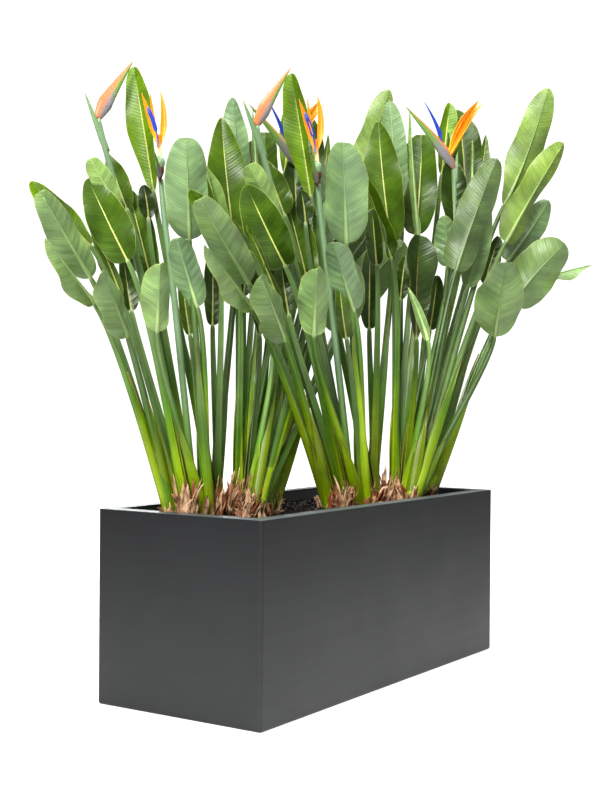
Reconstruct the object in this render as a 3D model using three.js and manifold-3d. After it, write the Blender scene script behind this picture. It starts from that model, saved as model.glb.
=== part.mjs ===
// Two clumps of bird of paradise in a long rectangular planter.
// Millimetres, +Z up. Origin: middle of the planter's underside. +X runs along the planter.
import * as THREE from 'three';
import { mergeVertices } from 'three/addons/utils/BufferGeometryUtils.js';
import Module from 'manifold-3d';

const wasm = await Module();
wasm.setup();

// ---- driving dimensions -------------------------------------------------------------------
const GAP = 0.35; // clearance kept between touching pieces

const planter = {
  length: 1000,
  width: 410,
  height: 400,
  wall: 34, // width of the flat rim
  floor: 16,
  cornerRadius: 7,
  innerRound: 1, // the corners inside
  bottomRound: 6,
  rimRound: 2,
};

const soil = {
  top: 375, // mean level, 25 mm below the rim
  bottom: planter.floor + GAP,
  ripple: 3, // height of the low heaps on its surface
  heap: 48, // their length over 2 pi, and that of the smaller lumps on them
  lump: 22,
  margin: 60, // it lies flat along the walls
  cells: [10, 4], // faces along the surface and across it
};

const stalk = {
  footHalf: 9, // half width of a leaf stalk where it leaves the soil
  neckHalf: 5, // half width where the blade begins
  depthShare: 0.85, // its depth against its width
  taper: 0.7, // how fast it narrows above the foot
  channel: 0.35, // how far its two edges rise over its middle, in radians
  lowBend: 0.3, // where its curve leaves the foot and where it turns to the blade, as shares of
  highBend: 0.3, // its length
  lift: 0.12, // and how much steeper than straight it leaves the foot
  steps: 3,
};

const blade = {
  thickness: 2.2,
  ribBase: 3.5, // how far the midrib stands out of the underside
  wave: 0.11, // height of the margin's waves against the blade's width
  waves: 1.9, // waves along one margin
  offBeat: 0.9, // the other margin's waves are longer by this
  waveShift: 1.7, // turn of the waves from leaf to leaf, in radians
  neckShare: 0.22, // the part of its length over which the stalk flattens out into it
  tipAt: 0.985, // it ends blunt, this far along its curve
  tipHalf: 0.4,
  widthPerStep: 14, // wide blades take more steps along their length
  fewest: 4,
  most: 6,
};

const crown = {
  radius: 19, // the base of a fan, where its stalks sheathe each other
  depth: 52, // how far the base of a fan stands in the soil
  rise: 12, // and above it
  root: 3, // where its stalks start, below the surface
  ring: 5, // and how far from its middle
  slack: 2, // its hole in the soil is wider by this
  clear: 40, // how far a hole's cutter stands out of the soil
  sides: 6,
};

// The two clumps. Each has its foot on the soil, its own turn in degrees and its size against
// the leaf list below. drop lowers its leaves, but not its feet, in the list's units. Where the
// clumps meet, pass carries the leaves of a's right behind the leaves of b's left: inner is the
// side that faces the other clump, and pass how far a leaf goes back for each millimetre out.
const clumps = [
  { prefix: 'a', x: -300, y: 43, turn: -53, size: 1, drop: 0, inner: 1, pass: 0.55 },
  { prefix: 'b', x: 185, y: -56, turn: -59.9, size: 1.128, drop: 35, inner: -1, pass: 0.75 },
];
const fullFrom = 250; // height over the soil above which drop and pass count in full
// What pass carries back or forward also spreads or draws in about this point in front of the
// clump, so that from there each leaf keeps its place.
const seenFrom = { away: 2740, up: 264 };

// Each fan of leaves, and where it stands: [side, near].
const fans = {
  far_left: [-94, 106],
  left: [-71, 64],
  inner_left: [-54, -2],
  front_left: [-28, 62],
  middle: [-9, -10],
  centre: [41, -60],
  front_centre: [55, -14],
  front_right: [71, 28],
  back_right: [66, -118],
  far_right: [103, -80],
};

// Leaves: [fan, neck, knee, tip, width, roll, fold], points as [side, near, up] from the clump's
// foot. The neck is where the blade begins, and the knee sets its curve. Roll 0 shows the upper
// side to the front and 180 the underside; fold is how far each half of the blade rises, in degrees.
const leaves = [
  ['far_left', [-260, 265, 525], [-300, 310, 590], [-360, 365, 665], 46, 140, 60],
  ['far_left', [-250, 240, 480], [-285, 290, 540], [-330, 355, 625], 64, 185, 20],
  ['far_left', [-245, 270, 425], [-285, 330, 465], [-320, 395, 535], 66, 195, 20],
  ['far_left', [-180, 245, 370], [-195, 315, 420], [-215, 390, 480], 68, 180, 15],
  ['left', [-185, 180, 520], [-220, 190, 585], [-270, 195, 690], 88, -10, 25],
  ['left', [-200, 145, 455], [-225, 165, 525], [-260, 190, 600], 36, -20, 30],
  ['inner_left', [-210, 180, 650], [-235, 200, 690], [-260, 220, 735], 44, 175, 20],
  ['inner_left', [-195, 70, 635], [-215, 70, 685], [-235, 60, 750], 56, 10, 25],
  ['inner_left', [-145, 70, 490], [-165, 60, 575], [-195, 45, 680], 70, 5, 25],
  ['inner_left', [-150, 100, 625], [-150, 100, 660], [-160, 100, 700], 36, 0, 20],
  ['front_left', [-125, 225, 380], [-120, 270, 440], [-115, 335, 500], 72, 185, 35],
  ['front_left', [-50, 130, 435], [-70, 155, 500], [-90, 195, 565], 60, 170, 20],
  ['front_left', [-70, 165, 565], [-75, 205, 655], [-80, 250, 755], 98, 180, 20],
  ['middle', [-140, 90, 670], [-160, 95, 795], [-185, 90, 930], 62, -40, 40],
  ['middle', [35, -95, 685], [30, -105, 795], [20, -110, 910], 66, 185, 15],
  ['middle', [-5, 50, 535], [-10, 55, 590], [-15, 55, 650], 36, 0, 20],
  ['middle', [-20, -5, 405], [-20, -10, 485], [-20, -25, 575], 40, 10, 20],
  ['centre', [25, -55, 590], [5, -45, 725], [-5, -60, 855], 100, -8, 22],
  ['centre', [25, -15, 555], [-5, 15, 650], [-45, 40, 745], 54, 40, 35],
  ['centre', [85, -125, 615], [70, -120, 760], [65, -125, 895], 20, 0, 75],
  ['centre', [50, -160, 650], [55, -180, 735], [65, -205, 835], 52, 10, 20],
  ['front_centre', [80, -28, 385], [75, -5, 485], [85, -20, 605], 72, 25, 40],
  ['centre', [80, -140, 620], [90, -170, 725], [95, -210, 855], 74, -10, 25],
  ['front_centre', [150, -135, 550], [150, -135, 605], [140, -120, 660], 56, 185, 20],
  ['front_right', [275, -240, 700], [330, -280, 810], [380, -300, 980], 84, 200, 15],
  ['front_right', [280, -210, 610], [330, -240, 710], [415, -290, 845], 78, 200, 25],
  ['front_right', [165, -75, 535], [195, -90, 635], [255, -120, 785], 82, 185, 20],
  ['front_right', [245, -135, 400], [250, -90, 470], [260, -20, 550], 108, 180, 15],
  ['back_right', [140, -245, 770], [150, -265, 855], [160, -295, 945], 50, 10, 25],
  ['back_right', [200, -265, 735], [200, -280, 830], [175, -300, 935], 72, 20, 25],
  ['back_right', [235, -315, 710], [240, -335, 795], [250, -370, 885], 38, 30, 25],
  ['back_right', [210, -245, 735], [210, -250, 795], [210, -255, 855], 18, 0, 75],
  ['far_right', [300, -225, 475], [345, -220, 540], [415, -210, 610], 114, 185, 20],
  ['far_right', [350, -335, 530], [430, -395, 560], [515, -455, 585], 62, 105, 20],
  ['far_right', [295, -270, 575], [345, -305, 640], [395, -335, 725], 70, 190, 20],
  ['front_right', [195, -140, 505], [220, -155, 590], [240, -160, 690], 58, 175, 20],
];

// ---- colours ------------------------------------------------------------------------------
const finish = (color, roughness, metalness = 0) => ({ color, roughness, metalness });
const finishes = {
  planter: finish(0x45494b, 0.45),
  soil: finish(0x1c120d, 0.95),
  leaf: finish(0x5d7f34, 0.45),
  spathe: finish(0x6f7a45, 0.5),
  sepals: finish(0xf08a1c, 0.5),
  petals: finish(0x2f4fc4, 0.45),
  husk: finish(0x9a6a45, 0.85),
};

// ---- mesh helpers -------------------------------------------------------------------------
const toSolid = (geometry) => {
  const bare = geometry.clone();
  bare.deleteAttribute('normal');
  bare.deleteAttribute('uv');
  const welded = mergeVertices(bare, 1e-4);
  const mesh = new wasm.Mesh({
    numProp: 3,
    vertProperties: new Float32Array(welded.attributes.position.array),
    triVerts: new Uint32Array(welded.index.array),
  });
  return new wasm.Manifold(mesh);
};

const toGeometry = (solid) => {
  const mesh = solid.getMesh();
  const geometry = new THREE.BufferGeometry();
  geometry.setAttribute('position', new THREE.BufferAttribute(mesh.vertProperties.slice(), 3));
  geometry.setIndex(new THREE.BufferAttribute(mesh.triVerts.slice(), 1));
  return geometry;
};

// The outer skin of a solid's largest piece: scraps are dropped and sealed hollows filled.
const largest = (solid) => solid.decompose().sort((a, b) => b.volume() - a.volume())[0];

// Rings of points with the same count, joined by side faces, with both ends closed. Each face is
// split from its first corner, and a turned one from its second.
const loft = (rings, turned = []) => {
  const sides = rings[0].length;
  const index = [];
  for (let r = 0; r + 1 < rings.length; r += 1) {
    for (let i = 0; i < sides; i += 1) {
      const a = r * sides + i;
      const b = r * sides + ((i + 1) % sides);
      if (turned.includes(i)) {
        index.push(a, b, a + sides, b, b + sides, a + sides);
      } else {
        index.push(a, b, b + sides, a, b + sides, a + sides);
      }
    }
  }
  const last = (rings.length - 1) * sides;
  for (let i = 1; i + 1 < sides; i += 1) {
    index.push(0, i + 1, i, last, last + i, last + i + 1);
  }
  const numbers = rings.flat().flatMap((point) => point.toArray());
  const geometry = new THREE.BufferGeometry();
  geometry.setAttribute('position', new THREE.Float32BufferAttribute(numbers, 3));
  geometry.setIndex(index);
  return geometry;
};

// Rings of a rounded rectangle, one for each level { z, halfX, halfY, radius }.
const cornerSteps = 2;
const rectangleRing = ({ z, halfX, halfY, radius }) => {
  const ring = [];
  const corners = [[1, 1], [-1, 1], [-1, -1], [1, -1]];
  corners.forEach(([sx, sy], quarter) => {
    for (let i = 0; i <= cornerSteps; i += 1) {
      const angle = ((quarter + i / cornerSteps) * Math.PI) / 2;
      ring.push(new THREE.Vector3(
        sx * (halfX - radius) + radius * Math.cos(angle),
        sy * (halfY - radius) + radius * Math.sin(angle),
        z,
      ));
    }
  });
  return ring;
};

// ---- planter and soil ---------------------------------------------------------------------
const planterGeometry = () => {
  const halfX = planter.length / 2;
  const halfY = planter.width / 2;
  const level = (z, inset) => ({
    z,
    halfX: halfX - inset,
    halfY: halfY - inset,
    radius: Math.max(planter.innerRound, planter.cornerRadius - inset),
  });
  const arc = 1 - Math.SQRT1_2;
  const levels = [
    level(0, planter.bottomRound),
    level(planter.bottomRound * arc, planter.bottomRound * arc),
    level(planter.bottomRound, 0),
    level(planter.height - planter.rimRound, 0),
    level(planter.height, planter.rimRound),
    level(planter.height, planter.wall - planter.rimRound),
    level(planter.height - planter.rimRound, planter.wall),
    level(planter.floor, planter.wall),
  ];
  return loft(levels.map(rectangleRing));
};

// Height of the soil's surface over its mean level: low heaps with lumps on them.
const soilHeight = (x, y, halfX, halfY) => {
  const edge = Math.min(1, (halfX - Math.abs(x)) / soil.margin, (halfY - Math.abs(y)) / soil.margin);
  const heaps = Math.sin(x / soil.heap + 0.6) * Math.cos((1.6 * y) / soil.heap);
  const lumps = 0.6 * Math.sin((x - 1.1 * y) / soil.lump);
  return soil.ripple * (heaps + lumps) * Math.max(0, edge);
};

const soilBlock = () => {
  const halfX = planter.length / 2 - planter.wall - GAP;
  const halfY = planter.width / 2 - planter.wall - GAP;
  const height = soil.top - soil.bottom;
  const geometry = new THREE.BoxGeometry(2 * halfX, 2 * halfY, height, ...soil.cells, 1);
  geometry.translate(0, 0, soil.bottom + height / 2);
  const place = geometry.attributes.position;
  for (let i = 0; i < place.count; i += 1) {
    if (place.getZ(i) > soil.bottom + height / 2) {
      place.setZ(i, soil.top + soilHeight(place.getX(i), place.getY(i), halfX, halfY));
    }
  }
  return toSolid(geometry);
};

// ---- leaves -------------------------------------------------------------------------------
const upright = { drop: 0, inner: 1, pass: 0 };
const local = ([side, near, up], { drop, inner, pass } = upright) => {
  const share = THREE.MathUtils.clamp(up / fullFrom, 0, 1);
  const back = pass * inner * Math.max(0, inner * side) * share;
  const spread = 1 + back / (seenFrom.away - near);
  return new THREE.Vector3(
    side * spread,
    back - near,
    seenFrom.up + (up - seenFrom.up) * spread - drop * share,
  );
};
const front = new THREE.Vector3(0, -1, 0);

// How wide a blade is along its length, from 0 at the neck to 1 at its widest and 0 at the tip.
const bladeShape = (t) => Math.pow(Math.sin(Math.PI * Math.pow(t, 0.8)), 0.65);

// One section of a leaf: its two margins and its middle, on the upper side and on the underside.
// Turning the faces from its points 1 and 4 splits both sides of a waved blade along the same lines,
// which run from the midrib outward and forward as its veins do.
const veinTurned = [1, 4];
const leafSection = ({
  point, tangent, roll, half, depth, rib, fold, waveLeft = 0, waveRight = 0, outward = front,
}) => {
  const facing = outward.clone().addScaledVector(tangent, -outward.dot(tangent)).normalize();
  facing.applyAxisAngle(tangent, THREE.MathUtils.degToRad(roll));
  const across = new THREE.Vector3().crossVectors(facing, tangent);
  const at = (sideways, up) => point.clone().addScaledVector(across, sideways).addScaledVector(facing, up);
  const reach = half * Math.cos(fold);
  const lift = half * Math.sin(fold);
  return [
    at(-reach, lift + waveLeft + depth),
    at(-reach, lift + waveLeft - depth),
    at(0, -depth - rib),
    at(reach, lift + waveRight - depth),
    at(reach, lift + waveRight + depth),
    at(0, depth),
  ];
};

// A leaf in one piece: a channelled stalk that goes over into a blade with waved margins.
const leafSolid = ([fan, neck, knee, tip, width, roll, foldDegrees], order, clump) => {
  const foot = fans[fan];
  const spin = (order * Math.PI) / 2;
  const root = local([
    foot[0] + crown.ring * Math.cos(spin),
    foot[1] + crown.ring * Math.sin(spin),
    -crown.root,
  ]);
  const [neckPoint, kneePoint, tipPoint] = [neck, knee, tip].map((point) => local(point, clump));
  const length = root.distanceTo(neckPoint);
  const arrival = kneePoint.clone().sub(neckPoint).normalize();
  const rising = root.clone().lerp(neckPoint, stalk.lowBend);
  rising.z += stalk.lift * length;
  const stalkCurve = new THREE.CubicBezierCurve3(
    root,
    rising,
    neckPoint.clone().addScaledVector(arrival, -stalk.highBend * length),
    neckPoint,
  );
  const bladeCurve = new THREE.QuadraticBezierCurve3(neckPoint, kneePoint, tipPoint);
  const fold = THREE.MathUtils.degToRad(foldDegrees);
  const rings = [];
  for (let i = 0; i < stalk.steps; i += 1) {
    const t = i / stalk.steps;
    const half = THREE.MathUtils.lerp(stalk.footHalf, stalk.neckHalf, Math.pow(t, stalk.taper));
    const depth = (half * stalk.depthShare) / 2;
    rings.push(leafSection({
      point: stalkCurve.getPoint(t),
      tangent: stalkCurve.getTangent(t),
      roll,
      half,
      depth,
      rib: depth,
      fold: stalk.channel,
    }));
  }
  const last = THREE.MathUtils.clamp(Math.round(width / blade.widthPerStep), blade.fewest, blade.most);
  const neckDepth = (stalk.neckHalf * stalk.depthShare) / 2;
  for (let i = 0; i <= last; i += 1) {
    const t = (i / last) * blade.tipAt;
    const flat = Math.min(1, t / blade.neckShare);
    const shape = bladeShape(t);
    const wave = width * blade.wave * shape;
    const phase = Math.PI * 2 * blade.waves * t + order * blade.waveShift;
    rings.push(leafSection({
      point: bladeCurve.getPoint(t),
      tangent: bladeCurve.getTangent(t),
      roll,
      half: stalk.neckHalf * (1 - t) + (width / 2) * shape + blade.tipHalf,
      depth: THREE.MathUtils.lerp(neckDepth, blade.thickness / 2, flat),
      rib: blade.ribBase * (1 - t),
      fold: THREE.MathUtils.lerp(stalk.channel, fold, flat),
      waveLeft: wave * Math.sin(phase),
      waveRight: wave * Math.cos(phase * blade.offBeat),
    }));
  }
  return toSolid(loft(rings, veinTurned));
};

// The base of a fan, where its leaf stalks sheathe each other: an upright tapered column.
const column = ([side, near], radius, depth, rise, shares = [1, 0.92]) => {
  const rings = [[-depth, shares[0]], [rise, shares[1]]].map(([z, share]) => {
    const ring = [];
    for (let i = 0; i < crown.sides; i += 1) {
      const angle = (2 * Math.PI * i) / crown.sides;
      ring.push(new THREE.Vector3(
        side + radius * share * Math.cos(angle),
        -near + radius * share * Math.sin(angle),
        z,
      ));
    }
    return ring;
  });
  return toSolid(loft(rings));
};

const fanSolid = (name, clump) => {
  let solid = column(fans[name], crown.radius, crown.depth, crown.rise);
  leaves.forEach((leaf, order) => {
    if (leaf[0] === name) {
      solid = solid.add(leafSolid(leaf, order, clump));
    }
  });
  return largest(solid);
};

// ---- flowers ------------------------------------------------------------------------------
// Points as [side, near, up]. The scape runs through its points up to the spathe, the beak that
// the sepals and petals stand out of.
const flowers = {
  bud_flower: {
    foot: [-68, 28],
    scape: [[-68, 28, -2], [-140, 75, 397], [-215, 135, 675], [-246, 168, 800]],
    spathe: { points: [[-252, 172, 796], [-228, 152, 850], [-181, 114, 928]], half: 13.5 },
    sheath: [[-244, 166, 792], [-268, 189, 843]],
    sepals: [],
    petals: [],
  },
  crane_flower: {
    foot: [62, -88],
    scape: [[62, -88, -2], [113, -106, 255], [150, -143, 476], [165, -155, 670], [163, -153, 775]],
    spathe: { points: [[166, -155, 768], [128, -124, 822], [53, -60, 886]], half: 14 },
    sheath: [[165, -155, 735], [171, -152, 805]],
    sepals: [
      [[152, -144, 790], [168, -158, 870], [220, -211, 929], 24, 20],
      [[150, -140, 790], [182, -160, 858], [226, -186, 916], 22, -30],
      [[146, -140, 790], [164, -140, 862], [190, -160, 912], 18, 50],
    ],
    petals: [[[143, -136, 790], [134, -128, 850], [93, -94, 905], 20, 10]],
  },
  facing_flower: {
    foot: [-50, 36],
    scape: [[-50, 36, -2], [-95, 102, 438], [-116, 112, 603], [-125, 114, 692]],
    spathe: { points: [[-125, 106, 686], [-128, 168, 716], [-134, 236, 730]], half: 13 },
    sheath: [[-116, 108, 590], [-112, 112, 655]],
    sepals: [
      [[-128, 122, 700], [-132, 124, 800], [-128, 120, 864], 24, 10],
      [[-130, 130, 700], [-138, 142, 790], [-166, 160, 846], 22, -15],
      [[-132, 126, 700], [-138, 128, 790], [-144, 130, 854], 18, 40],
    ],
    petals: [[[-131, 140, 703], [-134, 140, 770], [-152, 152, 822], 18, -20]],
  },
};

// The scape is the flower's round stem. The beak is the spathe, blunt where it leaves the scape,
// flatter than wide, and pointed. A bract wraps the joint of the two.
const scapeShape = { footHalf: 6.5, topHalf: 5, sides: 5, steps: 5, footRadius: 7, rise: 4 };
const beak = { bluntShare: 0.55, swell: 3, point: 0.75, tipHalf: 0.8, flat: 0.75, sides: 6, steps: 6 };
const bract = { half: 8.5, tipHalf: 0.7, sides: 5 };
const petal = { steps: 4, tipAt: 0.99, tipHalf: 0.6, halfThickness: 0.9, rib: 1.2, fold: 0.5 };

// A round stem along a curve, with its half width given by a function of the way along it.
const stemSolid = (curve, halfAt, steps, sides, flat = 1) => {
  const rings = [];
  for (let i = 0; i <= steps; i += 1) {
    const t = i / steps;
    const point = curve.getPoint(t);
    const tangent = curve.getTangent(t);
    const across = new THREE.Vector3().crossVectors(tangent, front).normalize();
    const over = new THREE.Vector3().crossVectors(across, tangent);
    const ring = [];
    for (let k = 0; k < sides; k += 1) {
      const angle = (2 * Math.PI * k) / sides;
      ring.push(point.clone()
        .addScaledVector(across, halfAt(t) * Math.cos(angle))
        .addScaledVector(over, flat * halfAt(t) * Math.sin(angle)));
    }
    rings.push(ring.reverse());
  }
  return toSolid(loft(rings));
};

// A sepal or petal: a thin pointed blade on a curve through three points.
const petalSolid = ([from, middle, to, width, roll], shapeAt, clump, grow) => {
  const curve = new THREE.QuadraticBezierCurve3(...[from, middle, to].map((point) => local(point, clump)));
  const rings = [];
  for (let i = 0; i <= petal.steps; i += 1) {
    const t = (i / petal.steps) * petal.tipAt;
    rings.push(leafSection({
      point: curve.getPoint(t),
      tangent: curve.getTangent(t),
      roll,
      half: (width / 2) * shapeAt(t) + petal.tipHalf + grow,
      depth: petal.halfThickness + grow,
      rib: petal.rib * (1 - t),
      fold: petal.fold,
    }));
  }
  return toSolid(loft(rings, veinTurned));
};

// Widths along a sepal and along the blue petals, as shares of the widest. The petals join in an
// arrow: a thin stem, two barbs two fifths of the way up, and a long point.
const sepalShape = (t) => Math.pow(Math.sin(Math.PI * Math.pow(t, 0.9)), 0.8) * 0.92 + 0.08 * (1 - t);
const arrow = { stem: 0.22, barbs: 0.4 };
const arrowShape = (t) => (t < arrow.barbs ? arrow.stem : (1 - t) / (1 - arrow.barbs));

const spatheSolid = (flower, clump, grow = 0) => {
  const { scape, spathe, sheath, foot } = flower;
  const place = (point) => local(point, clump);
  const scapeCurve = new THREE.CatmullRomCurve3(scape.map(place), false, 'centripetal');
  const spatheCurve = new THREE.QuadraticBezierCurve3(...spathe.points.map(place));
  const scapeHalf = (t) => THREE.MathUtils.lerp(scapeShape.footHalf, scapeShape.topHalf, t) + grow;
  const beakHalf = (t) => {
    const blunt = Math.min(1, beak.bluntShare + beak.swell * t);
    return spathe.half * blunt * Math.pow(1 - t, beak.point) + beak.tipHalf + grow;
  };
  const bractCurve = new THREE.LineCurve3(...sheath.map(place));
  const bractHalf = (t) => bract.half * (1 - t) + bract.tipHalf + grow;
  const scapeStem = stemSolid(scapeCurve, scapeHalf, scapeShape.steps, scapeShape.sides);
  const beakStem = stemSolid(spatheCurve, beakHalf, beak.steps, beak.sides, beak.flat);
  const bractStem = stemSolid(bractCurve, bractHalf, 1, bract.sides);
  const base = column(foot, scapeShape.footRadius + grow, crown.depth / 2, scapeShape.rise);
  return largest(scapeStem.add(beakStem).add(bractStem).add(base));
};

const petalsOf = (list, shapeAt, clump, grow = 0) => list
  .map((petal) => petalSolid(petal, shapeAt, clump, grow))
  .reduce((sum, solid) => sum.add(solid));

// ---- dry husks round the feet -------------------------------------------------------------
const husks = [
  { foot: [-69, 129], height: 98, lean: -0.05, teeth: 5 },
  { foot: [0, 42], height: 84, lean: 0.1, teeth: 4 },
  { foot: [24, -4], height: 104, lean: 0.15, teeth: 4 },
  { foot: [48, 52], height: 70, lean: 0.25, teeth: 5 },
];
const husk = {
  radius: 9, // of the stump that the torn strips stand on
  depth: 20, // how far the stump stands in the soil
  rise: 10, // and above it
  clear: 2, // the strips start this far over the soil
  seat: 0.72, // and this far out, against the stump's radius
  flare: 10, // how far their ends turn out
  sweep: 3.4, // how far round the stump they stand, in radians
  half: 3.7, // half width of a strip at its foot
  endShare: 0.22, // and of that at its torn end
  short: 0.55, // every second strip is torn off this low
  drop: 0.8, // a lower clump has lower husks by this share
  thickness: 2.4,
};

// Dry torn sheaths: upright strips that taper and turn out, round the front of a short stump.
const huskSolid = ({ foot, height, lean, teeth }, { drop }) => {
  let solid = column(foot, husk.radius, husk.depth, husk.rise);
  for (let i = 0; i < teeth; i += 1) {
    const angle = -Math.PI / 2 + (i / (teeth - 1) - 0.5) * husk.sweep;
    const out = new THREE.Vector3(Math.cos(angle), Math.sin(angle), 0);
    const across = new THREE.Vector3(-out.y, out.x, 0);
    const rise = (height - husk.drop * drop) * (i % 2 === 1 ? 1 : husk.short);
    const rings = [0, 1].map((share) => {
      const half = husk.half * THREE.MathUtils.lerp(1, husk.endShare, share);
      const reach = husk.radius * husk.seat + husk.flare * share;
      const middle = new THREE.Vector3(foot[0] + lean * rise * share, -foot[1], husk.clear + rise * share);
      const corners = [[1, -1], [1, 1], [-1, 1], [-1, -1]];
      return corners.map(([outward, sideways]) => middle.clone()
        .addScaledVector(out, reach + (outward * husk.thickness) / 2)
        .addScaledVector(across, sideways * half));
    });
    solid = solid.add(toSolid(loft(rings)));
  }
  return largest(solid);
};

// ---- assembly -----------------------------------------------------------------------------
const group = new THREE.Group();

const addMesh = (parent, name, solid, look) => {
  const mesh = new THREE.Mesh(toGeometry(solid), new THREE.MeshStandardMaterial(look));
  mesh.name = name;
  parent.add(mesh);
};

const placeOf = (clump) => new THREE.Matrix4().compose(
  new THREE.Vector3(clump.x, clump.y, soil.top),
  new THREE.Quaternion().setFromAxisAngle(new THREE.Vector3(0, 0, 1), THREE.MathUtils.degToRad(clump.turn)),
  new THREE.Vector3(clump.size, clump.size, clump.size),
);

const planterMesh = new THREE.Mesh(planterGeometry(), new THREE.MeshStandardMaterial(finishes.planter));
planterMesh.name = 'planter';
group.add(planterMesh);

let ground = soilBlock();
for (const clump of clumps) {
  const holder = new THREE.Group();
  holder.applyMatrix4(placeOf(clump));
  group.add(holder);
  const holes = [
    ...Object.values(fans).map((foot) => [foot, crown.radius, crown.depth]),
    ...Object.values(flowers).map(({ foot }) => [foot, scapeShape.footRadius, crown.depth / 2]),
    ...husks.map(({ foot }) => [foot, husk.radius, husk.depth]),
  ];
  for (const [foot, radius, depth] of holes) {
    const hole = column(foot, radius + crown.slack, depth + GAP, crown.clear, [1, 1]);
    ground = ground.subtract(hole.transform(placeOf(clump).toArray()));
  }
  for (const name of Object.keys(fans)) {
    addMesh(holder, `${clump.prefix}_fan_${name}`, fanSolid(name, clump), finishes.leaf);
  }
  for (const [name, flower] of Object.entries(flowers)) {
    const { prefix } = clump;
    addMesh(holder, `${prefix}_${name}_spathe`, spatheSolid(flower, clump), finishes.spathe);
    if (flower.sepals.length > 0) {
      const fatBeak = spatheSolid(flower, clump, GAP);
      const sepals = petalsOf(flower.sepals, sepalShape, clump);
      const fatSepals = petalsOf(flower.sepals, sepalShape, clump, GAP);
      const petals = petalsOf(flower.petals, arrowShape, clump).subtract(fatSepals).subtract(fatBeak);
      addMesh(holder, `${prefix}_${name}_sepals`, largest(sepals.subtract(fatBeak)), finishes.sepals);
      addMesh(holder, `${prefix}_${name}_petals`, largest(petals), finishes.petals);
    }
  }
  husks.forEach((tuft, i) => {
    addMesh(holder, `${clump.prefix}_husk_tuft_${i + 1}`, huskSolid(tuft, clump), finishes.husk);
  });
}
addMesh(group, 'soil', largest(ground), finishes.soil);

export default group;
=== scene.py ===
# Two clumps of bird of paradise in a long anthracite planter.
# Blender works in metres; the plant lists below are in millimetres, in each clump's own axes.
import math
import bpy
import numpy as np
from mathutils import Matrix


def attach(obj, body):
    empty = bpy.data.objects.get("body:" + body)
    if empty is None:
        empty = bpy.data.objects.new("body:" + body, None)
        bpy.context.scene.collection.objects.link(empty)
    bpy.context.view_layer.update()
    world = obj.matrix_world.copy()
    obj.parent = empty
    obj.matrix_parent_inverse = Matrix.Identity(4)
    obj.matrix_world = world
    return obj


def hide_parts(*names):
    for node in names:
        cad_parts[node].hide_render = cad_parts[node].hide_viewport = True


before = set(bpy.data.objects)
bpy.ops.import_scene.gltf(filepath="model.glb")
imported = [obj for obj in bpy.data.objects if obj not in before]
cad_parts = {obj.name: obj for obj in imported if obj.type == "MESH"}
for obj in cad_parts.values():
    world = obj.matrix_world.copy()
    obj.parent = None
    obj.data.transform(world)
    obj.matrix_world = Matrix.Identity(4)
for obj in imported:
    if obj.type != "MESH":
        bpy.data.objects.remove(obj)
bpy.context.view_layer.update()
print("frame loaded,", len(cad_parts), "nodes")

cameraView = {
    "place": (-2.4875, -1.6076, 0.6391),
    "yaw": 56.42,  # degrees from +Y towards +X
    "pitch": -0.307,
    "roll": 0.425,
    "focalPixels": 1299.55,
    "pictureHeight": 800,
    "sensor": 36.0,
}


def setCamera(view):  # looks along yaw and pitch, then rolls about that line
    yaw, pitch, roll = (math.radians(view[key]) for key in ("yaw", "pitch", "roll"))
    ahead = np.array([math.sin(yaw) * math.cos(pitch), math.cos(yaw) * math.cos(pitch), math.sin(pitch)])
    level = np.array([math.cos(yaw), -math.sin(yaw), 0.0])
    upward = np.cross(level, ahead)
    right = math.cos(roll) * level + math.sin(roll) * upward
    top = math.cos(roll) * upward - math.sin(roll) * level
    data = bpy.data.cameras.new("camera")
    data.sensor_fit = "VERTICAL"
    data.sensor_height = view["sensor"]
    data.lens = view["focalPixels"] * view["sensor"] / view["pictureHeight"]
    data.clip_end = 100
    camera = bpy.data.objects.new("camera", data)
    turn = Matrix([right, top, -ahead]).transposed().to_4x4()
    camera.matrix_world = Matrix.Translation(view["place"]) @ turn
    bpy.context.scene.collection.objects.link(camera)
    bpy.context.scene.camera = camera


setCamera(cameraView)
print("camera set")

studio = {
    "backdrop": 1.05,  # what the camera sees behind the plant
    "room": 0.05,  # light from the room, level with the plant, and from its ceiling
    "ceiling": 0.2,
    "mirrored": 0.34,  # the white walls, as the leaves' gloss mirrors them
    "panels": [  # name, place, aims at, width, height, watts
        ("keyPanel", (-3.7, -1.15, 2.9), (0.0, 0.0, 0.9), 1.3, 1.3, 190),
        ("fillPanel", (-1.2, -3.8, 2.6), (0.1, 0.0, 1.2), 1.0, 1.2, 8),
        ("topPanel", (0.2, -0.4, 3.2), (0.0, 0.0, 0.4), 2.4, 1.4, 85),
        ("backPanel", (2.6, 2.9, 2.3), (0.0, 0.0, 0.8), 1.6, 1.4, 55),
    ],
    "floorColour": "#f6f6f5",
    "floorFleck": "#f8f8f7",
    "floorRoughness": 0.8,
    "floorHalf": 14,  # metres from its middle to an edge
    "floorGlow": (0.3, 0.95),  # from near to far, so that it pales into the backdrop
    "floorFade": (0.8, 3.4),  # metres, where that starts and ends
}


def toLinear(text, alpha=1.0):  # sRGB hex to linear light
    parts = [int(text[i:i + 2], 16) / 255 for i in (1, 3, 5)]
    return tuple(c / 12.92 if c <= 0.04045 else ((c + 0.055) / 1.055) ** 2.4 for c in parts) + (alpha,)


# A value goes into its socket; a socket, or the result of a node, is linked to it.
def setInputs(tree, node, inputs):
    for key, value in inputs.items():
        if isinstance(value, bpy.types.Node):
            value = value.outputs[2 if getattr(value, "data_type", "") == "RGBA" else 0]
        if isinstance(value, bpy.types.NodeSocket):
            tree.links.new(value, node.inputs[key])
        else:
            node.inputs[key].default_value = value


def addNode(tree, kind, inputs=None, **settings):  # a new node with its settings, values and links
    node = tree.nodes.new(kind)
    for key, value in settings.items():
        setattr(node, key, value)
    setInputs(tree, node, inputs or {})
    return node


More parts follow.
